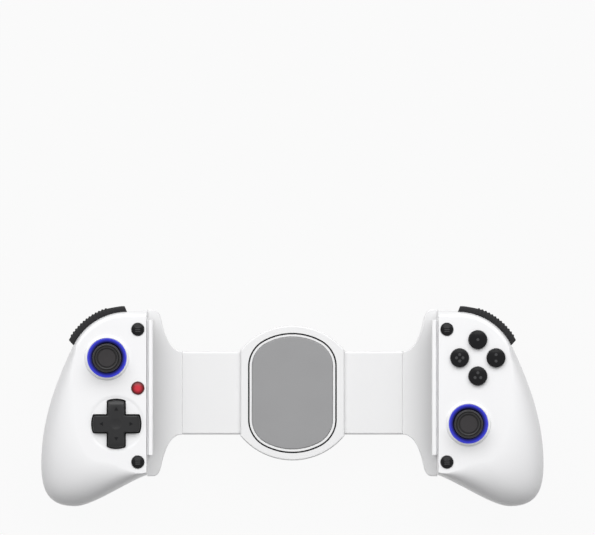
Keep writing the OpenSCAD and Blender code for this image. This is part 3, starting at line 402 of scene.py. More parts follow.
def combine(obj, form, operation, side=None):
    """Joins a form to this object, or cuts it out."""
    other = build("form", form, side)
    step = obj.modifiers.new(operation.lower(), "BOOLEAN")
    step.operation = operation
    step.solver = "EXACT"
    step.use_self = True
    step.object = other
    graph = bpy.context.evaluated_depsgraph_get()
    mesh = bpy.data.meshes.new_from_object(obj.evaluated_get(graph))
    obj.modifiers.remove(step)
    speck = 1e-5
    bm = bmesh.new()
    bm.from_mesh(mesh)
    bmesh.ops.remove_doubles(bm, verts=bm.verts, dist=speck)
    bmesh.ops.dissolve_degenerate(bm, edges=bm.edges, dist=speck)
    bmesh.ops.recalc_face_normals(bm, faces=bm.faces)
    bm.to_mesh(mesh)
    bm.free()
    old, obj.data = obj.data, mesh
    bpy.data.meshes.remove(old)
    mesh.name = obj.name
    bpy.data.objects.remove(other)


def bore_for_pin(obj, side):
    """Bores a piece for the trigger's pin."""
    bm = bmesh.new()
    at_trigger_pin(bm, lying_pin(bm, PIN_BORE_R, -9, 9))
    combine(obj, bm, "DIFFERENCE", side)


def settle(obj, body, slot, *nodes, finish=None, crisp=38):
    """Gives a piece its finish, named by its slot unless a finish is given, and its shading, hangs it under its
    body's empty and hides the given CAD nodes.
    """
    dress(obj, finish or slot)
    shade(obj, crisp)
    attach(obj, body)
    if nodes:
        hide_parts(*nodes)


def shade(obj, crisp):
    obj.data.shade_smooth()
    obj.data.set_sharp_from_angle(angle=math.radians(crisp))
    even = obj.modifiers.new("even_shading", "WEIGHTED_NORMAL")
    even.keep_sharp = True


def dress(obj, finish):
    """Puts a finish in the material slots of an object."""
    if not obj.material_slots:
        obj.data.materials.append(None)
    for slot in obj.material_slots:
        slot.material = bpy.data.materials[FINISH + finish]


# Finishes


def set_inputs(shader_node, values):
    """Sets the values of a node's inputs, given by name or place."""
    for name, value in values.items():
        shader_node.inputs[name].default_value = value


def node(tree, kind, values=None, **settings):
    """New shader node with its settings and the values of its inputs."""
    made = tree.nodes.new("ShaderNode" + kind)
    for name, value in settings.items():
        setattr(made, name, value)
    set_inputs(made, values or {})
    return made


def join(tree, *rows):
    """Links each (node, output, node, input)."""
    for start, output, end, entry in rows:
        tree.links.new(start.outputs[output], end.inputs[entry])


def shader_group(name, inputs, outputs):
    """Empty shader node group with named sockets."""
    tree = bpy.data.node_groups.new(name, "ShaderNodeTree")
    for label, kind, value in inputs:
        socket = tree.interface.new_socket(label, in_out="INPUT", socket_type="NodeSocket" + kind)
        socket.default_value = value
    for label, kind in outputs:
        tree.interface.new_socket(label, in_out="OUTPUT", socket_type="NodeSocket" + kind)
    return tree, tree.nodes.new("NodeGroupInput"), tree.nodes.new("NodeGroupOutput")


def surface_group():
    """Fine grain and faint smudges: two tones of colour, roughness between two values, and a height."""
    tree, given, out = shader_group(
        "moulded_surface",
        [("Tone", "Color", (1, 1, 1, 1)), ("Second tone", "Color", (1, 1, 1, 1)), ("Grain", "Float", 2500.0),
         ("Low roughness", "Float", 0.3), ("High roughness", "Float", 0.4)],
        [("Colour", "Color"), ("Roughness", "Float"), ("Height", "Float")],
    )
    place = node(tree, "TexCoord")
    smudge = node(tree, "TexNoise", {"Scale": 60, "Detail": 4})
    grain = node(tree, "TexNoise", {"Detail": 2})
    blend = node(tree, "Mix", data_type="RGBA")
    rough = node(tree, "MapRange")
    join(
        tree,
        (place, "Object", smudge, "Vector"),
        (place, "Object", grain, "Vector"),
        (given, "Grain", grain, "Scale"),
        (smudge, "Fac", blend, "Factor"),
        (given, "Tone", blend, "A"),
        (given, "Second tone", blend, "B"),
        (smudge, "Fac", rough, "Value"),
        (given, "Low roughness", rough, "To Min"),
        (given, "High roughness", rough, "To Max"),
        (blend, "Result", out, "Colour"),
        (rough, "Result", out, "Roughness"),
        (grain, "Fac", out, "Height"),
    )


def radial_group():
    """Fade from 0 at one radius to 1 at another, about an upright axis."""
    tree, given, out = shader_group(
        "radial_fade",
        [("Centre", "Vector", (0, 0, 0)), ("Start", "Float", 0.0), ("End", "Float", 0.01)],
        [("Fade", "Float")],
    )
    place = node(tree, "TexCoord")
    offset = node(tree, "VectorMath", operation="SUBTRACT")
    level = node(tree, "VectorMath", {1: (1, 1, 0)}, operation="MULTIPLY")
    reach = node(tree, "VectorMath", operation="LENGTH")
    fade = node(tree, "MapRange", interpolation_type="SMOOTHSTEP")
    join(
        tree,
        (place, "Object", offset, 0),
        (given, "Centre", offset, 1),
        (offset, "Vector", level, 0),
        (level, "Vector", reach, 0),
        (reach, "Value", fade, "Value"),
        (given, "Start", fade, "From Min"),
        (given, "End", fade, "From Max"),
        (fade, "Result", out, "Fade"),
    )


def surface(name, tone, contrast=0.06, grain=2500, rough=(0.3, 0.4), bump=0.02, metallic=0.0, coat=0.0,
            sheen=0.5):
    """Material with the moulded surface; contrast darkens the second tone, sheen is its specular level."""
    material = bpy.data.materials.new(FINISH + name)
    material.use_nodes = True
    tree = material.node_tree
    shader = tree.nodes["Principled BSDF"]
    set_inputs(shader, {"Metallic": metallic, "Specular IOR Level": sheen, "Coat Weight": coat,
                        "Coat Roughness": 0.08})
    second = [c * (1 - contrast) for c in tone]
    group = node(tree, "Group", {
        "Tone": (*tone, 1), "Second tone": (*second, 1), "Grain": grain, "Low roughness": rough[0],
        "High roughness": rough[1],
    }, node_tree=bpy.data.node_groups["moulded_surface"])
    relief = node(tree, "Bump", {"Strength": bump, "Distance": 0.0002})
    join(
        tree,
        (group, "Colour", shader, "Base Color"),
        (group, "Roughness", shader, "Roughness"),
        (group, "Height", relief, "Height"),
        (relief, "Normal", shader, "Normal"),
    )
    return material


def lit_from_middle(material, centre, start, end, inner, outer):
    """Adds light that changes from one colour to another with the distance from an axis. On the red key it is
    painted glow; on the light rings it is their own light, faded to dark at the inner edge as painted shade.
    """
    tree = material.node_tree
    shader = tree.nodes["Principled BSDF"]
    group = node(tree, "Group", {"Centre": centre, "Start": start, "End": end},
                 node_tree=bpy.data.node_groups["radial_fade"])
    tint = node(tree, "Mix", {"A": (*inner, 1), "B": (*outer, 1)}, data_type="RGBA")
    join(tree, (group, "Fade", tint, "Factor"), (tint, "Result", shader, "Emission Color"))
    set_inputs(shader, {"Emission Strength": 1})


class CONTROLLER_OT_finishes(bpy.types.Operator):
    """Make the finishes and dress the CAD pieces that stay in view."""

    bl_idname = "controller.finishes"
    bl_label = "Finishes"

    def execute(self, context):
        tone = context.scene.controller_finish
        surface_group()
        radial_group()
        surface("white_plastic", tone.shell, 0.02, 2500, (0.3, 0.4), 0.02, coat=0.15)
        # Painted shade: darker copy of the white plastic for the hub, sleeves and shoulders, which sit lower
        # between the grips
        surface("bridge_white", tone.bridge, 0.02, 2500, (0.38, 0.48), 0.03)
        surface("trim_line", tone.trim, 0.2, 2500, (0.45, 0.55), sheen=0.1)
        surface("rest_pad", tone.pad, 0.06, 3000, (0.6, 0.75), 0.1)
        surface("steel", (0.6, 0.61, 0.63), 0.15, 1500, (0.25, 0.4), 0.05, metallic=1)
        # Painted shade: darker copy of the steel for the metal inside the sticks, for the shade under the thumb
        # caps
        surface("gimbal_steel_painted_shade", (0.07, 0.07, 0.075), 0.15, 1500, (0.35, 0.5), 0.05, metallic=1)
        surface("ribbon", (0.55, 0.3, 0.08), 0.15, 1500, (0.3, 0.45))
        surface("gear_nylon", (0.7, 0.62, 0.42), 0.1, 2000, (0.45, 0.55))
        surface("slide_plastic", (0.55, 0.55, 0.57), 0.08, 2500, (0.4, 0.5))
        surface("jaw_rubber", (0.12, 0.12, 0.125), 0.15, 3000, (0.65, 0.8), 0.1)
        surface("board", (0.01, 0.12, 0.05), 0.2, 1200, (0.35, 0.5), 0.05)
        surface("silicone", (0.4, 0.4, 0.42), 0.1, 2500, (0.6, 0.7), 0.05)
        surface("housing_plastic", (0.03, 0.03, 0.033), 0.2, 2500, (0.45, 0.55), 0.05)
        surface("battery_wrap", (0.05, 0.06, 0.22), 0.2, 800, (0.25, 0.4), 0.05)
        surface("stick_rubber", tone.rubber, 0.2, 3500, (0.38, 0.5), 0.1, sheen=0.35)
        surface("stick_disc", tone.disc, 0.25, 3500, (0.45, 0.6), 0.15, sheen=0.3)
        surface("bumper_plastic", tone.lever, 0.15, 3000, (0.32, 0.42), 0.06, sheen=0.2)
        surface("dpad_plastic", tone.cross, 0.15, 3000, (0.26, 0.36), 0.05, sheen=0.3)
        surface("key_plastic", tone.keys, 0.15, 2500, (0.14, 0.22), 0.01, sheen=0.14)
        surface("key_mark", tone.mark, 0.1, 2500, (0.3, 0.4), 0.02, sheen=0.2)
        # The red key's light is painted glow, strongest in the key's middle and dim at its rim
        red = surface("red_plastic", (0.07, 0.004, 0.005), 0.2, 2500, (0.14, 0.22), 0.01, sheen=0.2)
        low, high = mm_box("red_button")
        middle = Vector((high.x - sizes()["small_key_r"], low.y + sizes()["small_key_r"], 0)) * MM
        lit_from_middle(red, middle, 0.0008, 0.003, tone.red, (0.04, 0.001, 0.001))
        for side, sign in SIDES.items():
            ring = surface("light_ring_" + side, (0.05, 0.05, 0.3), 0.1, 2500, (0.25, 0.35))
            centre = Vector((sign * (JAW_X + STICKS[side].x), STICKS[side].y, 0)) * MM
            # The ring's own light, with painted shade: it fades to near black towards the sloped inner edge
            lit_from_middle(ring, centre, 0.0078, 0.0092, (0.001, 0.001, 0.02), tone.glow)
        for part in frame["record"]["subparts"]:
            slot = part["material_slot"]
            if slot == "light_ring":
                slot += "_" + part["node"].split("_")[0]
            # Steel inside the sticks takes the dark copy, as painted shade under the caps
            elif slot == "steel" and "_stick_" in part["node"]:
                slot = "gimbal_steel_painted_shade"
            dress(frame["nodes"][part["node"]], slot)
        return {"FINISHED"}


# Grips


def grip_ring(x0, low, top, r, side, tip, pull, fine=2):
    """Closed outline of a grip: jaw wall, top edge, round shoulder, outer side, tip and lower edge."""
    turn_end = 25
    start, out = flat(x0, low), spoke(turn_end)
    leave = CORNER + r * out
    return (
        line(start, flat(x0, top), 8 * fine)
        + line(flat(x0, top), CORNER + flat(0, r), 3 * fine)
        + arc(CORNER, r, 90, turn_end, 12 * fine)
        + curve(leave, leave + pull[0] * flat(out.y, -out.x), side + flat(0, pull[1]), side, 12 * fine)
        + curve(side, side - flat(0, pull[2]), tip + flat(pull[3], 0), tip, 12 * fine)
        + curve(tip, tip - flat(pull[4], 0), start + pull[5] * flat(0.95, -0.3), start, 9 * fine)
    )


def outline_ring():
    return grip_ring(0, -34.5, 47.7, 30.5, flat(52.95, -29), flat(36.05, -50.1), (18, 23, 14.5, 12.5, 9, 10))


def face_ring():
    return grip_ring(0.2, -32.9, 44.7, 27.5, flat(36.2, 0), flat(22.05, -27.5), (9, 9, 14, 9, 7, 7))


def rest_ring(outline):
    """The ellipse that a grip rests on, met by each point of the outline along its own line."""
    centre, half_l, half_w, lean = flat(29, -12), 24, 9, math.radians(82)
    ring = []
    for p in outline:
        d = p - centre
        a = math.atan2(d.y, d.x) + lean
        reach = half_l * half_w / math.hypot(half_w * math.cos(a), half_l * math.sin(a))
        ring.append(centre + d.normalized() * reach)
    return ring


def front_bend(p):
    """The front stays fuller above the shoulder keys."""
    d = p - CORNER
    angle = math.degrees(math.atan2(d.y, d.x))
    start, end, ease = 12, 102, 20
    t = smooth(min(angle - start, end - angle) / ease)
    return 1.7 + 1.5 * t, 2 + 1.2 * t


def back_bend(p):
    """The back thins out towards the shoulder keys."""
    t = smooth((p.y + 10) / 40)
    return 2 - 0.4 * t, 2 - 0.75 * t


def half_shell(bm, level, edge, core, bend, wall, seam):
    """Hollow half of a grip between a flat end and the split."""

    def levels(inner, outer, z0, steps):
        rings = []
        for k in range(steps + 1):
            a = math.radians(90 * k / steps)
            ring = []
            for f, p in zip(inner, outer):
                c = bend(p)
                q = f.lerp(p, math.sin(a) ** (2 / c[0]))
                z = SPLIT_Z + (z0 - SPLIT_Z) * max(0, math.cos(a)) ** (2 / c[1])
                ring.append(Vector((q.x, q.y, z)))
            rings.append(ring)
        return rings

    inward = 1 if level > SPLIT_Z else -1
    outside = levels(core, edge, level, 16)
    outside[-1] = at_level(edge, SPLIT_Z + inward * seam)
    outside.append(at_level(inset(edge, seam), SPLIT_Z))
    inside = levels(inset(core, wall / 2), inset(edge, wall), level - inward * wall, 8)
    loft(bm, outside + inside[::-1])


def lever_window(bm):
    """Opening that the bumper and trigger move in."""
    sector(bm, oblong(26.4, 13, 45, 31.5), 24.5, 90.2, 24)


def cross_ring(half_l, half_w, outer_r, inner_r):
    """Plan of the cross pad: arms whose ends follow one circle."""
    swing = math.degrees(math.asin(half_w / half_l))
    corners = []
    for quarter in range(4):
        for k in range(9):
            p = half_l * spoke(90 * quarter + swing * (k / 4 - 1))
            corners.append((p.x, p.y, outer_r if k in (0, 8) else 0))
        p = math.sqrt(2) * half_w * spoke(90 * quarter + 45)
        corners.append((p.x, p.y, inner_r))
    return softened(corners, steps=4)


def small_places(side):
    """Places of the small keys of one grip, by node."""
    r = sizes()["small_key_r"]
    names = {"left": ("left_upper_button", "red_button", "left_lower_button"),
             "right": ("right_upper_button", "right_lower_button")}[side]
    places = {}
    for name in names:
        low, high = mm_box(name)
        near = high.x - r if side == "left" else low.x + r
        places[name] = to_local(Vector((near, low.y + r, 0)))
    return places


def face_places():
    """Places of the four face keys, by node."""
    return {name + "_button": to_local(sum(mm_box(name + "_button"), Vector()) / 2)
            for name in ("north", "east", "south", "west")}


# Screws of a grip: place, lower end of the cup, level of the head's seat
SCREWS = ((flat(32, 8), 1.8, 6), (flat(26, -26), 0.6, 6), (flat(12, 37.4), 13.3, 15.5))
HEAD_R = 2
HEAD_H = 1.5
CUP_R = HEAD_R + 0.1


def screw_cups(bm, screws, top):
    """Sunk seats of screws, which are given like those of a grip."""
    outer, shank = HEAD_R + 1.2, 1.1
    for place, low, seat in screws:
        ring = [(CUP_R, low), (outer, low), (outer, top), (shank, top), (shank, seat), (CUP_R, seat)]
        turned(bm, ring + ring[:1], place, 48)


class CONTROLLER_OT_grip_shells(bpy.types.Operator):
    """Build the front and back shell of each grip."""

    bl_idname = "controller.grip_shells"
    bl_label = "Grip shells"

    def execute(self, context):
        s = sizes()
        outline = outline_ring()
        low, high = mm_box("ribbon_cable")
        y, w = (low.y + high.y) / 2, high.y - low.y + 1
        for side in SIDES:
            body, wall = side + "_grip", (s["wall"], s["seam"])
            front = piece(body + "_front", side, half_shell, FACE_Z, outline, face_ring(), front_bend, *wall)
            cut = bmesh.new()
            lever_window(cut)
            self.face_holes(cut, side, s)
            combine(front, cut, "DIFFERENCE", side)
            settle(front, body, "white_plastic", side + "_front_shell")
            back = piece(body + "_back", side, half_shell, 0, outline, rest_ring(outline), back_bend, *wall)
            cut = bmesh.new()
            lever_window(cut)
            for place, _, seat in SCREWS:
                hole(cut, place, CUP_R, -1, seat)
            block(cut, (-1, y - w / 2, HUB.z - 1.2), (4, y + w / 2, HUB.z + 1.2))
            combine(back, cut, "DIFFERENCE", side)
            settle(back, body, "white_plastic", side + "_back_shell")
            skin, bore = rounded(w + 2.4, 4.8, 0.8), rounded(w, 2.4, 0.3)
            rings = [(skin, -0.15), (skin, 3.4), (inset(skin, 0.4), 3.8), (bore, 3.8), (bore, -0.15)]
            rings = [[Vector((x, y + p.x, HUB.z + p.y)) for p in ring] for ring, x in rings]
            settle(piece(side + "_ribbon_grommet", side, loft, rings, joined=True), body, "white_plastic")
            seats = piece(side + "_screw_seats", side, screw_cups, SCREWS, SPLIT_Z - 0.1)
            settle(seats, body, "white_plastic")
        return {"FINISHED"}

    def face_holes(self, cut, side, s):
        """Cutters for the stick, the keys, the cross pad and the charging slot."""
        edge, gap, low = s["hole_edge"], s["key_gap"], FACE_Z - 4
        hole(cut, STICKS[side], STICK_HOLE_R, low, FACE_Z)
        for place in small_places(side).values():
            hole(cut, place, s["small_key_r"] + gap, low, FACE_Z, edge)
        if side == "right":
            for place in face_places().values():
                hole(cut, place, s["face_key_r"] + gap, low, FACE_Z, edge)
            self.socket_slot(cut)
            return
        dish, over = FACE_Z - 0.4, FACE_Z + 0.4
        profile = [(0, dish, 0), (13.05, dish, 2), (16.65, over, 0), (0, over, 0)]
        turned(cut, softened(profile, closed=False, steps=8), CROSS)
        half_l, half_w, gap = s["arm_l"] / 2, s["arm_w"] / 2, s["arm_gap"]
        rings = []
        for grow, z in ((gap, low), (gap, dish - edge), (gap + 2 * edge, dish + edge)):
            ring = cross_ring(half_l + grow, half_w + grow, 0.8, 0.6)
            rings.append([Vector((CROSS.x + p.x, CROSS.y + p.y, z)) for p in ring])
        loft(cut, rings)

    def socket_slot(self, cut):
        """Round-ended slot in front of the charging socket, which looks out of the lower edge."""
        w, t, turn = 9.5, 3.8, math.radians(-18)
        before = set(cut.verts)
        section = rounded(w, t, t / 2.01)
        loft(cut, [[Vector((p.x, y, p.y)) for p in section] for y in (-9, 0)])
        verts = [v for v in cut.verts if v not in before]
        bmesh.ops.rotate(cut, verts=verts, cent=(0, 0, 0), matrix=Matrix.Rotation(turn, 3, "Z"))
        bmesh.ops.translate(cut, verts=verts, vec=(9, -33, 23.2))


class CONTROLLER_OT_inner_fittings(bpy.types.Operator):
    """Build the screw bosses and the posts of the lever pins, inside each grip."""

    bl_idname = "controller.inner_fittings"
    bl_label = "Inner fittings"

    def execute(self, context):
        board, ceiling = mm_box("left_key_mat")[0].z, FACE_Z - 2
        pin = to_local(joint_at("right_bumper_press"))
        post_y, half = 7.5, 0.9
        outside = [(1.9, SPLIT_Z), (1.9, board), (2.8, board), (2.8, ceiling)]
        for side in SIDES:
            bm = bmesh.new()
            for place, *_ in SCREWS:
                self.boss(bm, place, 1.1, outside, board + 4)
            self.boss(bm, pin, 1.05, [(2.2, 31.9), (2.2, ceiling - 1.5)], 34)
            settle(build(side + "_bosses", bm, side), side + "_grip", "white_plastic")
            bm = bmesh.new()
            for y in (-post_y, post_y):
                at_trigger_pin(bm, block(bm, (-2.4, y - half, -5.6), (1.2, y + half, 2.4)))
            posts = build(side + "_pin_posts", bm, side)
            bore_for_pin(posts, side)
            settle(posts, side + "_grip", "white_plastic")
        return {"FINISHED"}

    def boss(self, bm, place, bore, outside, end):
        """Boss bored from below up to a level; its outside is (radius, level) from the foot up."""
        low, top = outside[0][1], outside[-1][1]
        turned(bm, [(bore, low)] + outside + [(0, top), (0, end), (bore, end), (bore, low)], place, 48)


# Sticks


class CONTROLLER_OT_sticks(bpy.types.Operator):
    """Build the thumb caps, the light rings and the collars round them."""

    bl_idname = "controller.sticks"
    bl_label = "Sticks"

    def execute(self, context):
        s = sizes()
        for side, place in STICKS.items():
            body, cap = side + "_grip", side + "_stick_cap"
            thumb = piece(side + "_thumb_cap", side, turned, self.cap_profile(place.z, s), place)
            settle(thumb, cap, "stick_rubber", cap)
            top, r = place.z + CAP_RISE, s["disc_r"] - 0.6
            profile = [(0, top - 1.05, 0), (r, top - 0.9, 0.1), (r, top - 1.6, 0), (0, top - 1.6, 0)]
            disc = piece(side + "_cap_disc", side, turned, softened(profile, closed=False), place)
            settle(disc, cap, "stick_rubber", finish="stick_disc")
            ring = softened([(7.7, FACE_Z - 3, 0), (9.8, FACE_Z - 3, 0), (9.8, FACE_Z + 0.8, 0.3),
                             (9.3, FACE_Z + 0.8, 0.4), (7.7, FACE_Z - 2.3, 0.3)])
            glow = piece(side + "_glow_ring", side, turned, ring + ring[:1], place)
            settle(glow, body, "light_ring", side + "_light_ring", finish="light_ring_" + side)
            ring = softened([(STICK_HOLE_R, FACE_Z - 1, 0), (11.4, FACE_Z - 1, 0), (11.4, FACE_Z - 0.1, 0),
                             (10.5, FACE_Z + COLLAR_H, 0.4), (STICK_HOLE_R, FACE_Z + COLLAR_H, 0.2)])
            collar = piece(side + "_collar", side, turned, ring + ring[:1], place)
            settle(collar, body, "white_plastic")
        return {"FINISHED"}

    def cap_profile(self, pivot, s):
        """From the middle of the cap's disc over its rim and neck to the round skirt below."""
        r, disc = s["cap_r"], s["disc_r"]
        top, low = pivot + CAP_RISE, pivot + 13.5
        skirt, inner = 9, 8.1
        upper = softened([(0, top - 1.6, 0), (disc, top - 1.6, 0.05), (disc + 0.05, top - 0.5, 0.12),
                          (disc + 0.8, top - 0.35, 0.12), (disc + 0.85, top - 1.2, 0.05),
                          (disc + 1.2, top - 1.2, 0.05), (disc + 1.25, top, 0.15), (r - 0.5, top - 0.1, 0.3),
                          (r - 0.1, top - 0.6, 0.3), (r, top - 1.5, 0.5), (r, low + 0.7, 0.5),
                          (r - 0.8, low, 0.4), (3, low, 0.8), (3, pivot + 8.6, 0)], closed=False)
        dome = [skirt * spoke(90 - a) for a in range(22, 51, 4)]
        under = [inner * spoke(90 - a) for a in range(50, -1, -5)]
        return upper + [p + flat(0, pivot) for p in dome + under]


# Cross pad


class CONTROLLER_OT_cross_pad(bpy.types.Operator):
    """Build the cross pad with its sloped ends, arrow marks and dished middle."""

    bl_idname = "controller.cross_pad"
    bl_label = "Cross pad"

    def execute(self, context):
        s = sizes()
        half_l, half_w, drop = s["arm_l"] / 2, s["arm_w"] / 2, s["arm_slope"]
        top, low = FACE_Z + 2.4, CROSS.z + 0.8
        run = 2.2
        slope_at = half_l - run
        ring = [p + CROSS.xy for p in cross_ring(half_l, half_w, 0.9, 0.7)]
        bm = bmesh.new()
        loft(bm, pillow(ring, low, top, 0.1, 0.55, 3))
        for axis in (Vector((1, 0, 0)), Vector((-1, 0, 0)), Vector((0, 1, 0)), Vector((0, -1, 0))):
            bmesh.ops.bisect_plane(bm, geom=bm.verts[:] + bm.edges[:] + bm.faces[:],
                                   plane_co=CROSS + axis * slope_at, plane_no=axis, dist=1e-4)
            for v in bm.verts:
                past = (v.co - CROSS).dot(axis) - slope_at
                if past > 1e-3 and v.co.z > top - 1.5:
                    v.co.z -= drop * past / run
        pad = build("cross_pad", bm, "left")
        cut, marks = bmesh.new(), bmesh.new()
        for quarter in range(4):
            arrow = []
            for x, y in ((1.0, 0), (-0.8, 1.05), (-0.8, -1.05)):
                tip = Matrix.Rotation(math.radians(90 * quarter), 2) @ flat(half_l - 4.4 + x, y)
                arrow.append(CROSS.xy + tip)
            prism(cut, arrow, top - 0.3, top + 1)
            prism(marks, arrow, top - 0.3, top - 0.08)
        ball = bmesh.ops.create_uvsphere(cut, u_segments=128, v_segments=96, radius=16)["verts"]
        bmesh.ops.translate(cut, verts=ball, vec=(CROSS.x, CROSS.y, top + 15.75))
        block(cut, (CROSS.x - 5, CROSS.y - 5, low - 1), (CROSS.x + 5, CROSS.y + 5, CROSS.z + 2.2))
        block(cut, (CROSS.x - 7.2, CROSS.y - 2.4, low - 1), (CROSS.x + 7.2, CROSS.y + 2.4, CROSS.z + 2.6))
        combine(pad, cut, "DIFFERENCE", "left")
        wide = cross_ring(half_l + 1.35, half_w + 1.35, 0.8, 0.6)
        hollow = cross_ring(half_l - 1, half_w - 1, 0.8, 0.6)
        near = 2.6 - CROSS.x
        rings = []
        for plan, z in ((wide, low), (wide, CROSS.z + 2), (hollow, CROSS.z + 2), (hollow, low)):
            rings.append([Vector((CROSS.x + max(p.x, near), CROSS.y + p.y, z)) for p in plan])
        settle(piece("cross_skirt", "left", loft, rings, joined=True), "dpad", "dpad_plastic")
        settle(build("cross_arrows", marks, "left"), "dpad", "dpad_plastic", finish="trim_line")
        settle(pad, "dpad", "dpad_plastic", "dpad", crisp=30)
        return {"FINISHED"}


# Keys


# Fall of a key's dome from its middle to its rounded edge, and the radius of that edge
KEY_SAG = 0.45
KEY_EDGE = 0.6


class CONTROLLER_OT_keys(bpy.types.Operator):
    """Build the face keys and the small keys."""

    bl_idname = "controller.keys"
    bl_label = "Keys"

    def execute(self, context):
        s = sizes()
        tall, short, dot_r, dots_r = 2.5, 1.3, 0.75, 1.6
        for count, (name, place) in enumerate(face_places().items(), 1):
            settle(self.key(name, place, s["face_key_r"], tall, 0.3, "right"), name, "key_plastic", name)
            bm = bmesh.new()
            for k in range(count):
                away = flat(0, 0) if count == 1 else dots_r * spoke(90 + 360 * k / count)
                level = FACE_Z + tall - KEY_SAG * (away.length / (s["face_key_r"] - KEY_EDGE)) ** 2
                dot = softened([(0, level + 0.1, 0), (dot_r, level + 0.1, 0.1), (dot_r, level - 0.3, 0),
                                (0, level - 0.3, 0)], closed=False)
                turned(bm, dot, place.xy + away, 24)
            settle(build(name + "_dots", bm, "right"), name, "key_plastic", finish="key_mark")
        for side in SIDES:
            for name, place in small_places(side).items():
                slot = "red_plastic" if name == "red_button" else "key_plastic"
                settle(self.key(name, place, s["small_key_r"], short, 0.05, side), name, slot, name)
                if slot == "key_plastic":
                    bm = bmesh.new()
                    for y in (-1, 0, 1):
                        bar = [place.xy + p + flat(0, y) for p in rounded(2.6, 0.5, 0.2)]
                        loft(bm, pillow(bar, FACE_Z + 0.8, FACE_Z + 1.38 - 0.08 * abs(y), 0.05, 0.1))
                    settle(build(name + "_bars", bm, side), name, slot, finish="key_mark")
        return {"FINISHED"}

    def key(self, name, place, r, height, flange, side):
        """Domed key on a stem, with a rim under the face."""
        top, rim, low = FACE_Z + height, FACE_Z - 2.2, mm_box(name)[0].z
        wide, stem, inner = r + flange, r - 1.2, r - KEY_EDGE
        profile = [(inner * k / 8, top - KEY_SAG * (k / 8) ** 2) for k in range(9)]
        for a in (15, 30, 45, 60, 75, 90):
            turn = math.radians(a)
            level = top - KEY_SAG - KEY_EDGE * (1 - math.cos(turn))
            profile.append((inner + KEY_EDGE * math.sin(turn), level))
        profile += [(r, rim), (wide, rim), (wide, rim - 1), (stem, rim - 1), (stem, low), (0, low)]
        return piece(name + "_cap", side, turned, profile, place, 64)


class CONTROLLER_OT_key_mats(bpy.types.Operator):
    """Build the silicone mats under the keys, with a dome under each key and under each arm of the cross pad."""

    bl_idname = "controller.key_mats"
    bl_label = "Key mats"

    def execute(self, context):
        for side in SIDES:
            low, high = mm_box(side + "_key_mat")
            near, far = (x - JAW_X for x in sorted((abs(low.x), abs(high.x))))
            foot = low.z + 1
            ends = (near, low.y, low.z), (near + 4.5, high.y, foot)
            sheet = piece(side + "_mat_sheet", side, block, *ends)
            wide = bmesh.new()
            if side == "left":
                block(wide, (near, CROSS.y - 14, low.z), (far, CROSS.y + 14, foot))
            else:
                ring = [p for place in face_places().values() for p in arc(place.xy, 3.6, 0, 360, 32)]
                ring += [flat(near + 0.5, p.y) for p in ring]
                bmesh.ops.convex_hull(wide, input=[
                    wide.verts.new(p) for z in (low.z, foot) for p in at_level(ring, z)])
                loose = [v for v in wide.verts if not v.link_faces]
                bmesh.ops.delete(wide, geom=loose, context="VERTS")
            combine(sheet, wide, "UNION", side)
            if side == "left":
                slot = bmesh.new()
                block(slot, (CROSS.x - 7, CROSS.y - 3, low.z - 1), (CROSS.x + 7, CROSS.y + 3, foot + 1))
                combine(sheet, slot, "DIFFERENCE", side)
                self.cross_domes(foot)
            settle(sheet, side + "_grip", "silicone", side + "_key_mat")
            for name, place in small_places(side).items():
                self.key_dome(name, place, 1.8, foot, side)
        for name, place in face_places().items():
            self.key_dome(name, place, 2.7, foot, "right")
        return {"FINISHED"}

    def key_dome(self, name, place, r, foot, side):
        press = name + "_press"
        travel = max(joint(press)["range_m"]) / MM
        self.dome(name + "_dome", place, r, mm_box(name)[0].z - 0.03, foot, press, travel + 0.1, side)

    def cross_domes(self, foot):
        """One dome under each arm."""
        top = CROSS.z + 0.5
        for quarter, press in enumerate(("dpad_tilt_x", "dpad_tilt_y") * 2):
            place = CROSS.xy + 9.3 * spoke(90 * quarter)
            self.dome("cross_dome_" + str(quarter + 1), place, 2.2, top, foot, press, 1.25, "left")

    def dome(self, name, place, r, top, foot, press, give, side):
        """Turned dome standing on its foot."""
        profile = [(0, top, 0), (0.65 * r, top, 0.3), (0.75 * r, top - 1.4, 0.5), (r, foot + 0.8, 0.4),
                   (r + 0.5, foot, 0), (0, foot, 0)]
        dome = piece(name, side, turned, softened(profile, closed=False), place, 48)
        settle(dome, side + "_grip", "silicone")
        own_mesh(dome)


# Levers


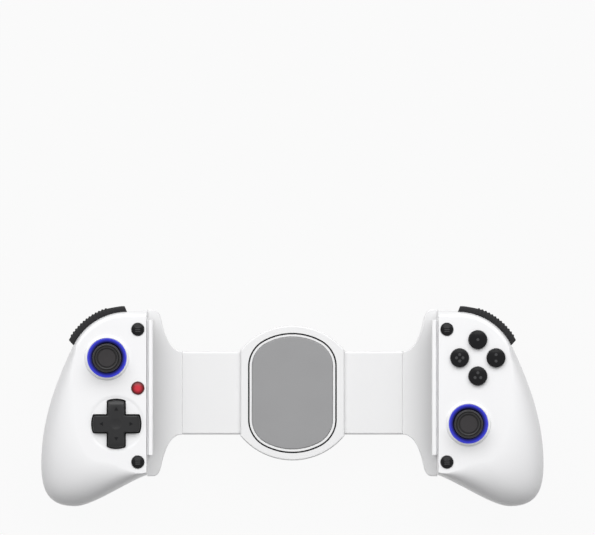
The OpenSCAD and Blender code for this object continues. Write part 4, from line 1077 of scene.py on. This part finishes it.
class CONTROLLER_OT_levers(bpy.types.Operator):
    """Build the ribbed bumpers and the triggers below them."""

    bl_idname = "controller.levers"
    bl_label = "Bumpers and triggers"

    def execute(self, context):
        s = sizes()
        for side in SIDES:
            self.bumper(side, s)
            self.trigger(side)
        return {"FINISHED"}

    def bumper(self, side, s):
        """Band swept along the shoulder, with ribs on its outer face and slanted ends, on a web."""
        inner, outer, low, high = 29.7, 33.15, SPLIT_Z + 1.4, 31
        ribs, count, half_rib = (33, 71), s["rib_count"], 0.31
        near, far = (26.3, 28.7), (89.3, 86.9)
        swell, swell_end, swell_run = 0.4, 82, 16
        steps = 420
        rings = []
        for k in range(-2, steps + 3):
            t = min(1, max(0, k / steps))
            angle = near[1] + (far[1] - near[1]) * t
            phase = (angle - ribs[0]) / (ribs[1] - ribs[0]) * (count - 1)
            away = abs(phase - round(phase))
            on_rib = away < half_rib and -0.5 < phase < count - 0.5
            rib = math.sqrt(math.cos(math.pi * away / (2 * half_rib))) if on_rib else 0
            r = outer + swell * smooth((swell_end - angle) / swell_run) + s["rib_d"] * rib
            corners = [(inner, low, 0.3), (r, low, 0.3), (r, high, 0.4), (inner, high, 0.3)]
            section = softened(corners, steps=3)
            end = 0 if 0 <= k <= steps else abs(k - t * steps)
            shift = 0.25 * end / 2 * (-1 if k < 0 else 1)
            ring = []
            for q in inset(section, 0.12 * end * end / 2) if end else section:
                share = (q.x - inner) / (outer - inner)
                a0, a1 = near[0] + (near[1] - near[0]) * share, far[0] + (far[1] - far[0]) * share
                ring.append(Vector((*(CORNER + q.x * spoke(a0 + (a1 - a0) * t + shift)), q.y)))
            rings.append(ring)
        bumper = piece(side + "_bumper_band", side, loft, rings)
        web = bmesh.new()
        sector(web, oblong(27.6, low + 2.6, 31.5, 30), 32, 83.4)
        combine(bumper, web, "UNION", side)
        settle(bumper, side + "_bumper", "bumper_plastic", side + "_bumper")

    def trigger(self, side):
        """Bowed plate on a shelf, with two arms that turn on the pin."""
        low, high, out, thick, waist = 5, 20.8, 33.3, 2.2, 0.6
        mid, half = (low + high) / 2, (high - low) / 2
        heights = [low + (high - low) * k / 10 for k in range(11)]
        bow = [out - waist * (1 - ((z - mid) / half) ** 2) for z in heights]
        corners = [(r, z, 0.7 if k in (0, 10) else 0) for k, (r, z) in enumerate(zip(bow, heights))]
        corners += [(r - thick, z, 0.5 if z in (low, high) else 0) for r, z in zip(bow[::-1], heights[::-1])]
        trigger = piece(side + "_trigger_plate", side, sector, softened(corners), 29.5, 85.4, 48, 0.4)
        shelf = bmesh.new()
        sector(shelf, oblong(28.4, 18, 32, 20.2), 32, 83.4)
        combine(trigger, shelf, "UNION", side)
        arms, arm_y, half_arm, knuckle_r = bmesh.new(), 4.8, 1.2, 2.3
        top = high - joint_at("right_trigger_pull").z
        for y in (-arm_y, arm_y):
            near, far = y - half_arm, y + half_arm
            at_trigger_pin(arms, block(arms, (0, near, -2.6), (6.6, far, top)))
            at_trigger_pin(arms, lying_pin(arms, knuckle_r, near, far))
        combine(trigger, arms, "UNION", side)
        bore_for_pin(trigger, side)
        settle(trigger, side + "_trigger", "bumper_plastic", side + "_trigger")


# Bridge

HUB_WALL = 1.4
HUB_SCREWS = [flat(12 * i, HUB.y + 26 * j) for i in (-1, 1) for j in (-1, 1)]


def hub_ring():
    """Plan of the hub: a circle cut by two flat sides."""
    low, high = mm_box("hub_front_cover")
    r, half = (high.y - low.y) / 2, (high.x - low.x) / 2
    a = math.degrees(math.acos(half / r))
    ring = []
    for start in (a, 180 + a):
        ring += arc(HUB.xy, r, start, start + 180 - 2 * a, 64) + [HUB.xy + r * spoke(start + 180 - 2 * a)]
    return ring


def along_bridge(section, x):
    """Section drawn across the bridge, put at x."""
    return [Vector((x, HUB.y + p.x, HUB.z + p.y)) for p in section]


class CONTROLLER_OT_hub(bpy.types.Operator):
    """Build the hub's covers, the dark trim and the rest pad."""

    bl_idname = "controller.hub"
    bl_label = "Hub"

    def execute(self, context):
        s = sizes()
        plan = hub_ring()
        low, high = mm_box("hub_back_cover")[0].z, mm_box("hub_front_cover")[1].z
        front_wall, corner, mouth = 1.8, 13, rounded(41.7, 9.2, 1)
        pad_low, pad_high = mm_box("rest_pad")
        w, h = pad_high.x - pad_low.x, pad_high.y - pad_low.y

        def pad_ring(grow, z=0):
            plan = cut_round(w + 2 * grow, h + 2 * grow, corner + grow)
            return [Vector((*(p + HUB.xy), z)) for p in plan]

        def band(start, end, top):
            """Rings of a closed band round the pad."""
            foot = high - 0.8
            return [pad_ring(start, foot), pad_ring(end, foot), pad_ring(end, top), pad_ring(start, top)]

        def hollow(cut, start, end):
            prism(cut, inset(plan, HUB_WALL), start, end)
            loft(cut, [along_bridge(mouth, x) for x in (-30, 30)])

        front = piece("hub_front", None, loft, pillow(plan, HUB.z, high, s["seam"], s["hub_edge"], 5))
        cut = bmesh.new()
        hollow(cut, HUB.z - 1, high - front_wall)
        loft(cut, [pad_ring(0.05, pad_low.z), pad_ring(0.05, high - 0.2), pad_ring(1.0, high + 0.75)])
        loft(cut, band(1.2, 2.0, high + 1), joined=True)
        combine(front, cut, "DIFFERENCE")
        settle(front, "bridge", "white_plastic", "hub_front_cover", finish="bridge_white")
        back = piece("hub_back", None, loft, pillow(plan, low, HUB.z, s["hub_edge"], s["seam"], 5))
        cut = bmesh.new()
        hollow(cut, low + HUB_WALL, HUB.z + 1)
        seat = low + HUB_WALL + HEAD_H
        for place in HUB_SCREWS:
            hole(cut, place, CUP_R, low - 1, seat)
        combine(back, cut, "DIFFERENCE")
        settle(back, "bridge", "white_plastic", "hub_back_cover", finish="bridge_white")
        screws = [(place, low + 0.6, seat) for place in HUB_SCREWS]
        seats = piece("hub_screw_seats", None, screw_cups, screws, HUB.z - 0.1)
        settle(seats, "bridge", "white_plastic", finish="bridge_white")
        trim = piece("trim_ring", None, loft, band(1.22, 1.98, high - 0.04), joined=True)
        settle(trim, "bridge", "trim_line", "pad_trim")
        pad = pillow([p.xy for p in pad_ring(-0.05)], pad_low.z, pad_high.z, 0.05, 0.45, 5)
        settle(piece("phone_rest", None, loft, pad), "bridge", "rest_pad", "rest_pad")
        return {"FINISHED"}


class CONTROLLER_OT_arms(bpy.types.Operator):
    """Build the sleeves, the shoulders and the jaw lips."""

    bl_idname = "controller.arms"
    bl_label = "Sleeves, shoulders and jaws"

    def execute(self, context):
        s = sizes()
        for side, sign in SIDES.items():
            low, high = mm_box(side + "_sleeve")
            near, far = sorted((abs(low.x), abs(high.x)))
            w, t = high.y - low.y, high.z - low.z
            skin, bore = rounded(w, t, 1), rounded(w - 2.8, t - 2.8, 0.6)
            seam = 2 * s["seam"]
            rings = [(skin, near), (skin, far - seam), (inset(skin, seam), far), (bore, far), (bore, near)]
            rings = [along_bridge(section, sign * x) for section, x in rings]
            arm = piece(side + "_arm", None, loft, rings, joined=True)
            settle(arm, "bridge", "white_plastic", side + "_sleeve", finish="bridge_white")
            body, plan = side + "_grip", self.shoulder_ring(far - JAW_X, w / 2)
            flare = piece(side + "_flare", side, loft, pillow(plan, low.z, high.z, 0.4, 0.4, 4))
            settle(flare, body, "white_plastic", side + "_shoulder", finish="bridge_white")
            settle(piece(side + "_lip", side, self.lip, side), body, "white_plastic", side + "_jaw_lip")
        return {"FINISHED"}

    def shoulder_ring(self, seam, half_w):
        """Plan of a shoulder: it flares from the sleeve to the height of the jaw."""
        half, outer = 41.6, -0.15
        tip, neck = flat(-2.85, half), flat(-7.45, half - 7)
        last = flat(seam, half_w)
        edge = curve(tip, tip - flat(3, 0), neck + flat(0.8, 3.9), neck, 12)
        edge += curve(neck, flat(-9.25, 27), flat(-12.15, half_w), last, 16) + [last]
        ring = [flat(outer, half)] + edge + [flat(p.x, -p.y) for p in edge[::-1]] + [flat(outer, -half)]
        return [p + flat(0, HUB.y) for p in ring]

    def lip(self, bm, side):
        """Lip that holds the phone down, on its plate along the jaw wall."""
        low, high = mm_box(side + "_jaw_lip")
        reach, groove, plate = high.x - low.x, 0.9, 1
        under, step = high.z - 2.6, high.z - 1.8
        section = softened([(-plate, low.z, 0.2), (0, low.z, 0.1), (0, step, 0.1), (-groove, step, 0.1),
                            (-groove, high.z, 0.45), (-reach, high.z, 0.8), (-reach, under, 0.4),
                            (-plate, under, 0.2)], steps=4)
        ends = [(inset(section, 0.2), low.y), (section, low.y + 0.2), (section, high.y - 0.2),
                (inset(section, 0.2), high.y)]
        loft(bm, [[Vector((p.x, y, p.y)) for p in ring] for ring, y in ends])


# Springs and ribbon cable


class CONTROLLER_OT_stretching(bpy.types.Operator):
    """Build the return springs and the folded ribbon cable."""

    bl_idname = "controller.stretching"
    bl_label = "Springs and ribbon"

    def execute(self, context):
        s = sizes()
        for side, sign in SIDES.items():
            low, high = mm_box(side + "_return_spring")
            near, far = sorted((abs(low.x), abs(high.x)))
            wire = s["wire_d"]
            r = (high.y - low.y - wire) / 2
            middle = (low.y + high.y) / 2
            turns, fine = 16, 24
            path = []
            for i in range(turns * fine + 1):
                a = 2 * math.pi * i / fine
                x = near + wire / 2 + (far - near - wire) * i / (turns * fine)
                path.append(Vector((sign * x, middle + r * math.cos(a), HUB.z + r * math.sin(a))))
            spring = self.wire(side + "_coil", path, wire)
            self.stretch(spring, side, sign, near, far - 1, "steel", side + "_return_spring")
            ribbon = self.ribbon(side, sign)
            self.stretch(ribbon, side, sign, 6, 62, "ribbon", "ribbon_cable")
        return {"FINISHED"}

    def stretch(self, obj, side, sign, start, end, slot, node):
        dress(obj, slot)
        obj.data.shade_smooth()
        obj.data.set_sharp_from_angle(angle=math.radians(50))
        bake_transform(obj)
        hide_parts(node)

    def wire(self, name, path, d):
        """Round wire swept along a path."""
        rings = []
        for i, p in enumerate(path):
            along = (path[min(i + 1, len(path) - 1)] - path[max(i - 1, 0)]).normalized()
            u = along.cross(Vector((1, 0, 0))).normalized()
            v = along.cross(u)
            rings.append([p + d / 2 * (u * q.x + v * q.y) for q in (spoke(45 * k) for k in range(8))])
        return piece(name, None, loft, rings)

    def ribbon(self, side, sign):
        """Flat cable folded twice inside the tongue, then up to the board."""
        low, high = mm_box("ribbon_cable")
        fold, far, thick, bend = 1, 64.15, 0.3, 0.45
        ahead, behind = 50, 12
        out = max(abs(low.x), abs(high.x)) - thick / 2
        path = softened([(0, fold, 0), (ahead, fold, bend), (ahead, 0, bend), (behind, 0, bend),
                         (behind, -fold, bend), (far, -fold, bend), (far, 0, bend), (out, 0, 0.8),
                         (out, high.z - HUB.z, 0)], closed=False)
        fine = []
        for a, b in zip(path, path[1:]):
            fine += line(a, b, max(1, int((b - a).length / 2)))
        fine.append(path[-1])
        rings = []
        for i, p in enumerate(fine):
            along = (fine[min(i + 1, len(fine) - 1)] - fine[max(i - 1, 0)]).normalized()
            up = flat(-along.y, along.x) * thick / 2
            rings.append([Vector((sign * q.x, y, HUB.z + q.y)) for q, y in (
                (p + up, low.y), (p + up, high.y), (p - up, high.y), (p - up, low.y))])
        return piece(side + "_ribbon", None, loft, rings)


class CONTROLLER_OT_screws(bpy.types.Operator):
    """Build the screws with crossed recesses."""

    bl_idname = "controller.screws"
    bl_label = "Screws"

    def execute(self, context):
        for side in SIDES:
            self.screws(side, [(place, seat) for place, _, seat in SCREWS], side)
        seat = mm_box("hub_back_cover")[0].z + HUB_WALL + HEAD_H
        self.screws("hub", [(place, seat) for place in HUB_SCREWS], None)
        return {"FINISHED"}

    def screws(self, name, screws, side):
        bm, cut = bmesh.new(), bmesh.new()
        end = mm_box(name + "_screws")[1].z
        for place, seat in screws:
            head = seat - HEAD_H
            profile = [(0, head, 0), (HEAD_R, head, 0.5), (HEAD_R, seat, 0), (1, seat, 0), (1, end - 0.6, 0),
                       (0, end, 0)]
            turned(bm, softened(profile, closed=False), place, 48)
            for x, y in ((1.1, 0.25), (0.25, 1.1)):
                block(cut, (place.x - x, place.y - y, head - 1), (place.x + x, place.y + y, seat - 0.7))
        screw = build(name + "_cross_screws", bm, side)
        combine(screw, cut, "DIFFERENCE", side)
        settle(screw, side + "_grip" if side else "bridge", "steel", name + "_screws")


# Stage


class CONTROLLER_OT_stage(bpy.types.Operator):
    """Set the floor, the light and the camera."""

    bl_idname = "controller.stage"
    bl_label = "Stage"

    def execute(self, context):
        scene = context.scene
        settings = scene.controller_stage
        scene.view_settings.view_transform = "Standard"
        reach, drop = 20, 0.0003
        bm = bmesh.new()
        bmesh.ops.create_grid(bm, x_segments=1, y_segments=1, size=reach)
        bmesh.ops.translate(bm, vec=(0, 0, -drop), verts=bm.verts)
        mesh = bpy.data.meshes.new("floor")
        bm.to_mesh(mesh)
        bm.free()
        floor = bpy.data.objects.new("floor", mesh)
        scene.collection.objects.link(floor)
        mesh.materials.append(self.floor_material(scene.controller_finish.floor))
        self.key_light(settings.key_power)
        self.world(scene, settings.fill)
        camera = bpy.data.cameras.new("camera")
        camera.lens = settings.lens
        camera.sensor_width = 36
        camera.clip_end = 100
        holder = bpy.data.objects.new("camera", camera)
        holder.location = (settings.aim[0], settings.aim[1], settings.camera_height)
        scene.collection.objects.link(holder)
        scene.camera = holder
        return {"FINISHED"}

    def key_light(self, power):
        place = Vector((0, 1.15, 1.35))
        lamp = bpy.data.lights.new("key_light", "AREA")
        lamp.shape = "RECTANGLE"
        lamp.size, lamp.size_y = 3, 1.3
        lamp.energy = power
        holder = bpy.data.objects.new("key_light", lamp)
        holder.location = place
        holder.rotation_euler = (Vector() - place).to_track_quat("-Z", "Y").to_euler()
        holder.visible_camera = False
        bpy.context.scene.collection.objects.link(holder)

    def seen(self, tree):
        """Node that gives 1 for rays from the camera, a mirror or glass."""
        path = node(tree, "LightPath")
        either = node(tree, "Math", operation="MAXIMUM")
        any_ray = node(tree, "Math", operation="MAXIMUM")
        join(
            tree,
            (path, "Is Camera Ray", either, 0),
            (path, "Is Glossy Ray", either, 1),
            (either, 0, any_ray, 0),
            (path, "Is Transmission Ray", any_ray, 1),
        )
        return any_ray

    def world(self, scene, fill):
        """White where it is seen, and a light that is a little stronger from the picture's upper side."""
        world = bpy.data.worlds.new("studio")
        scene.world = world
        world.use_nodes = True
        tree = world.node_tree
        back = tree.nodes["Background"]
        set_inputs(back, {"Color": (1, 1, 1, 1)})
        coords = node(tree, "TexCoord")
        axes = node(tree, "SeparateXYZ")
        weak, strong = 0.75 * fill, 1.25 * fill
        lean = node(tree, "MapRange", {"From Min": -1, "To Min": weak, "To Max": strong})
        strength = node(tree, "MapRange", {"To Max": 1})
        join(
            tree,
            (coords, "Generated", axes, "Vector"),
            (axes, "Y", lean, "Value"),
            (lean, "Result", strength, "To Min"),
            (self.seen(tree), 0, strength, "Value"),
            (strength, "Result", back, "Strength"),
        )

    def floor_material(self, tone):
        """Pale surface that shows as white and keeps a faint shadow; clear from below."""
        material = bpy.data.materials.new("pale_floor")
        material.use_nodes = True
        tree = material.node_tree
        shader = tree.nodes["Principled BSDF"]
        set_inputs(shader, {"Roughness": 0.9, "Specular IOR Level": 0, "Base Color": (*tone, 1)})
        white = node(tree, "Emission")
        share = node(tree, "Math", {1: 0.94}, operation="MULTIPLY")
        blend = node(tree, "MixShader")
        clear = node(tree, "BsdfTransparent")
        under = node(tree, "NewGeometry")
        final = node(tree, "MixShader")
        join(
            tree,
            (self.seen(tree), 0, share, 0),
            (share, 0, blend, "Fac"),
            (shader, "BSDF", blend, 1),
            (white, "Emission", blend, 2),
            (under, "Backfacing", final, "Fac"),
            (blend, "Shader", final, 1),
            (clear, "BSDF", final, 2),
            (final, "Shader", tree.nodes["Material Output"], "Surface"),
        )
        return material


OPERATORS = (
    CONTROLLER_OT_finishes,
    CONTROLLER_OT_grip_shells,
    CONTROLLER_OT_inner_fittings,
    CONTROLLER_OT_sticks,
    CONTROLLER_OT_cross_pad,
    CONTROLLER_OT_keys,
    CONTROLLER_OT_key_mats,
    CONTROLLER_OT_levers,
    CONTROLLER_OT_hub,
    CONTROLLER_OT_arms,
    CONTROLLER_OT_stretching,
    CONTROLLER_OT_screws,
    CONTROLLER_OT_stage,
)


class VIEW3D_PT_controller(bpy.types.Panel):
    """Settings and building steps of the controller."""

    bl_label = "Controller"
    bl_space_type = "VIEW_3D"
    bl_region_type = "UI"
    bl_category = "Controller"

    def draw(self, context):
        for group in ("controller_sizes", "controller_finish", "controller_stage"):
            settings = getattr(context.scene, group)
            for name in settings.__annotations__:
                self.layout.prop(settings, name)
        for operator in OPERATORS:
            self.layout.operator(operator.bl_idname)


CLASSES = (ControllerSizes, ControllerFinish, ControllerStage, *OPERATORS, VIEW3D_PT_controller)


def register():
    for cls in CLASSES:
        bpy.utils.register_class(cls)
    bpy.types.Scene.controller_sizes = PointerProperty(type=ControllerSizes)
    bpy.types.Scene.controller_finish = PointerProperty(type=ControllerFinish)
    bpy.types.Scene.controller_stage = PointerProperty(type=ControllerStage)


def unregister():
    del bpy.types.Scene.controller_stage
    del bpy.types.Scene.controller_finish
    del bpy.types.Scene.controller_sizes
    for cls in reversed(CLASSES):
        bpy.utils.unregister_class(cls)


def main():
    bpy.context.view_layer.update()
    register()
    bpy.ops.controller.finishes()
    bpy.ops.controller.grip_shells()
    bpy.ops.controller.inner_fittings()
    bpy.ops.controller.sticks()
    bpy.ops.controller.cross_pad()
    bpy.ops.controller.keys()
    bpy.ops.controller.key_mats()
    bpy.ops.controller.levers()
    bpy.ops.controller.hub()
    bpy.ops.controller.arms()
    bpy.ops.controller.stretching()
    bpy.ops.controller.screws()
    bpy.ops.controller.stage()


if __name__ == "__main__":
    main()
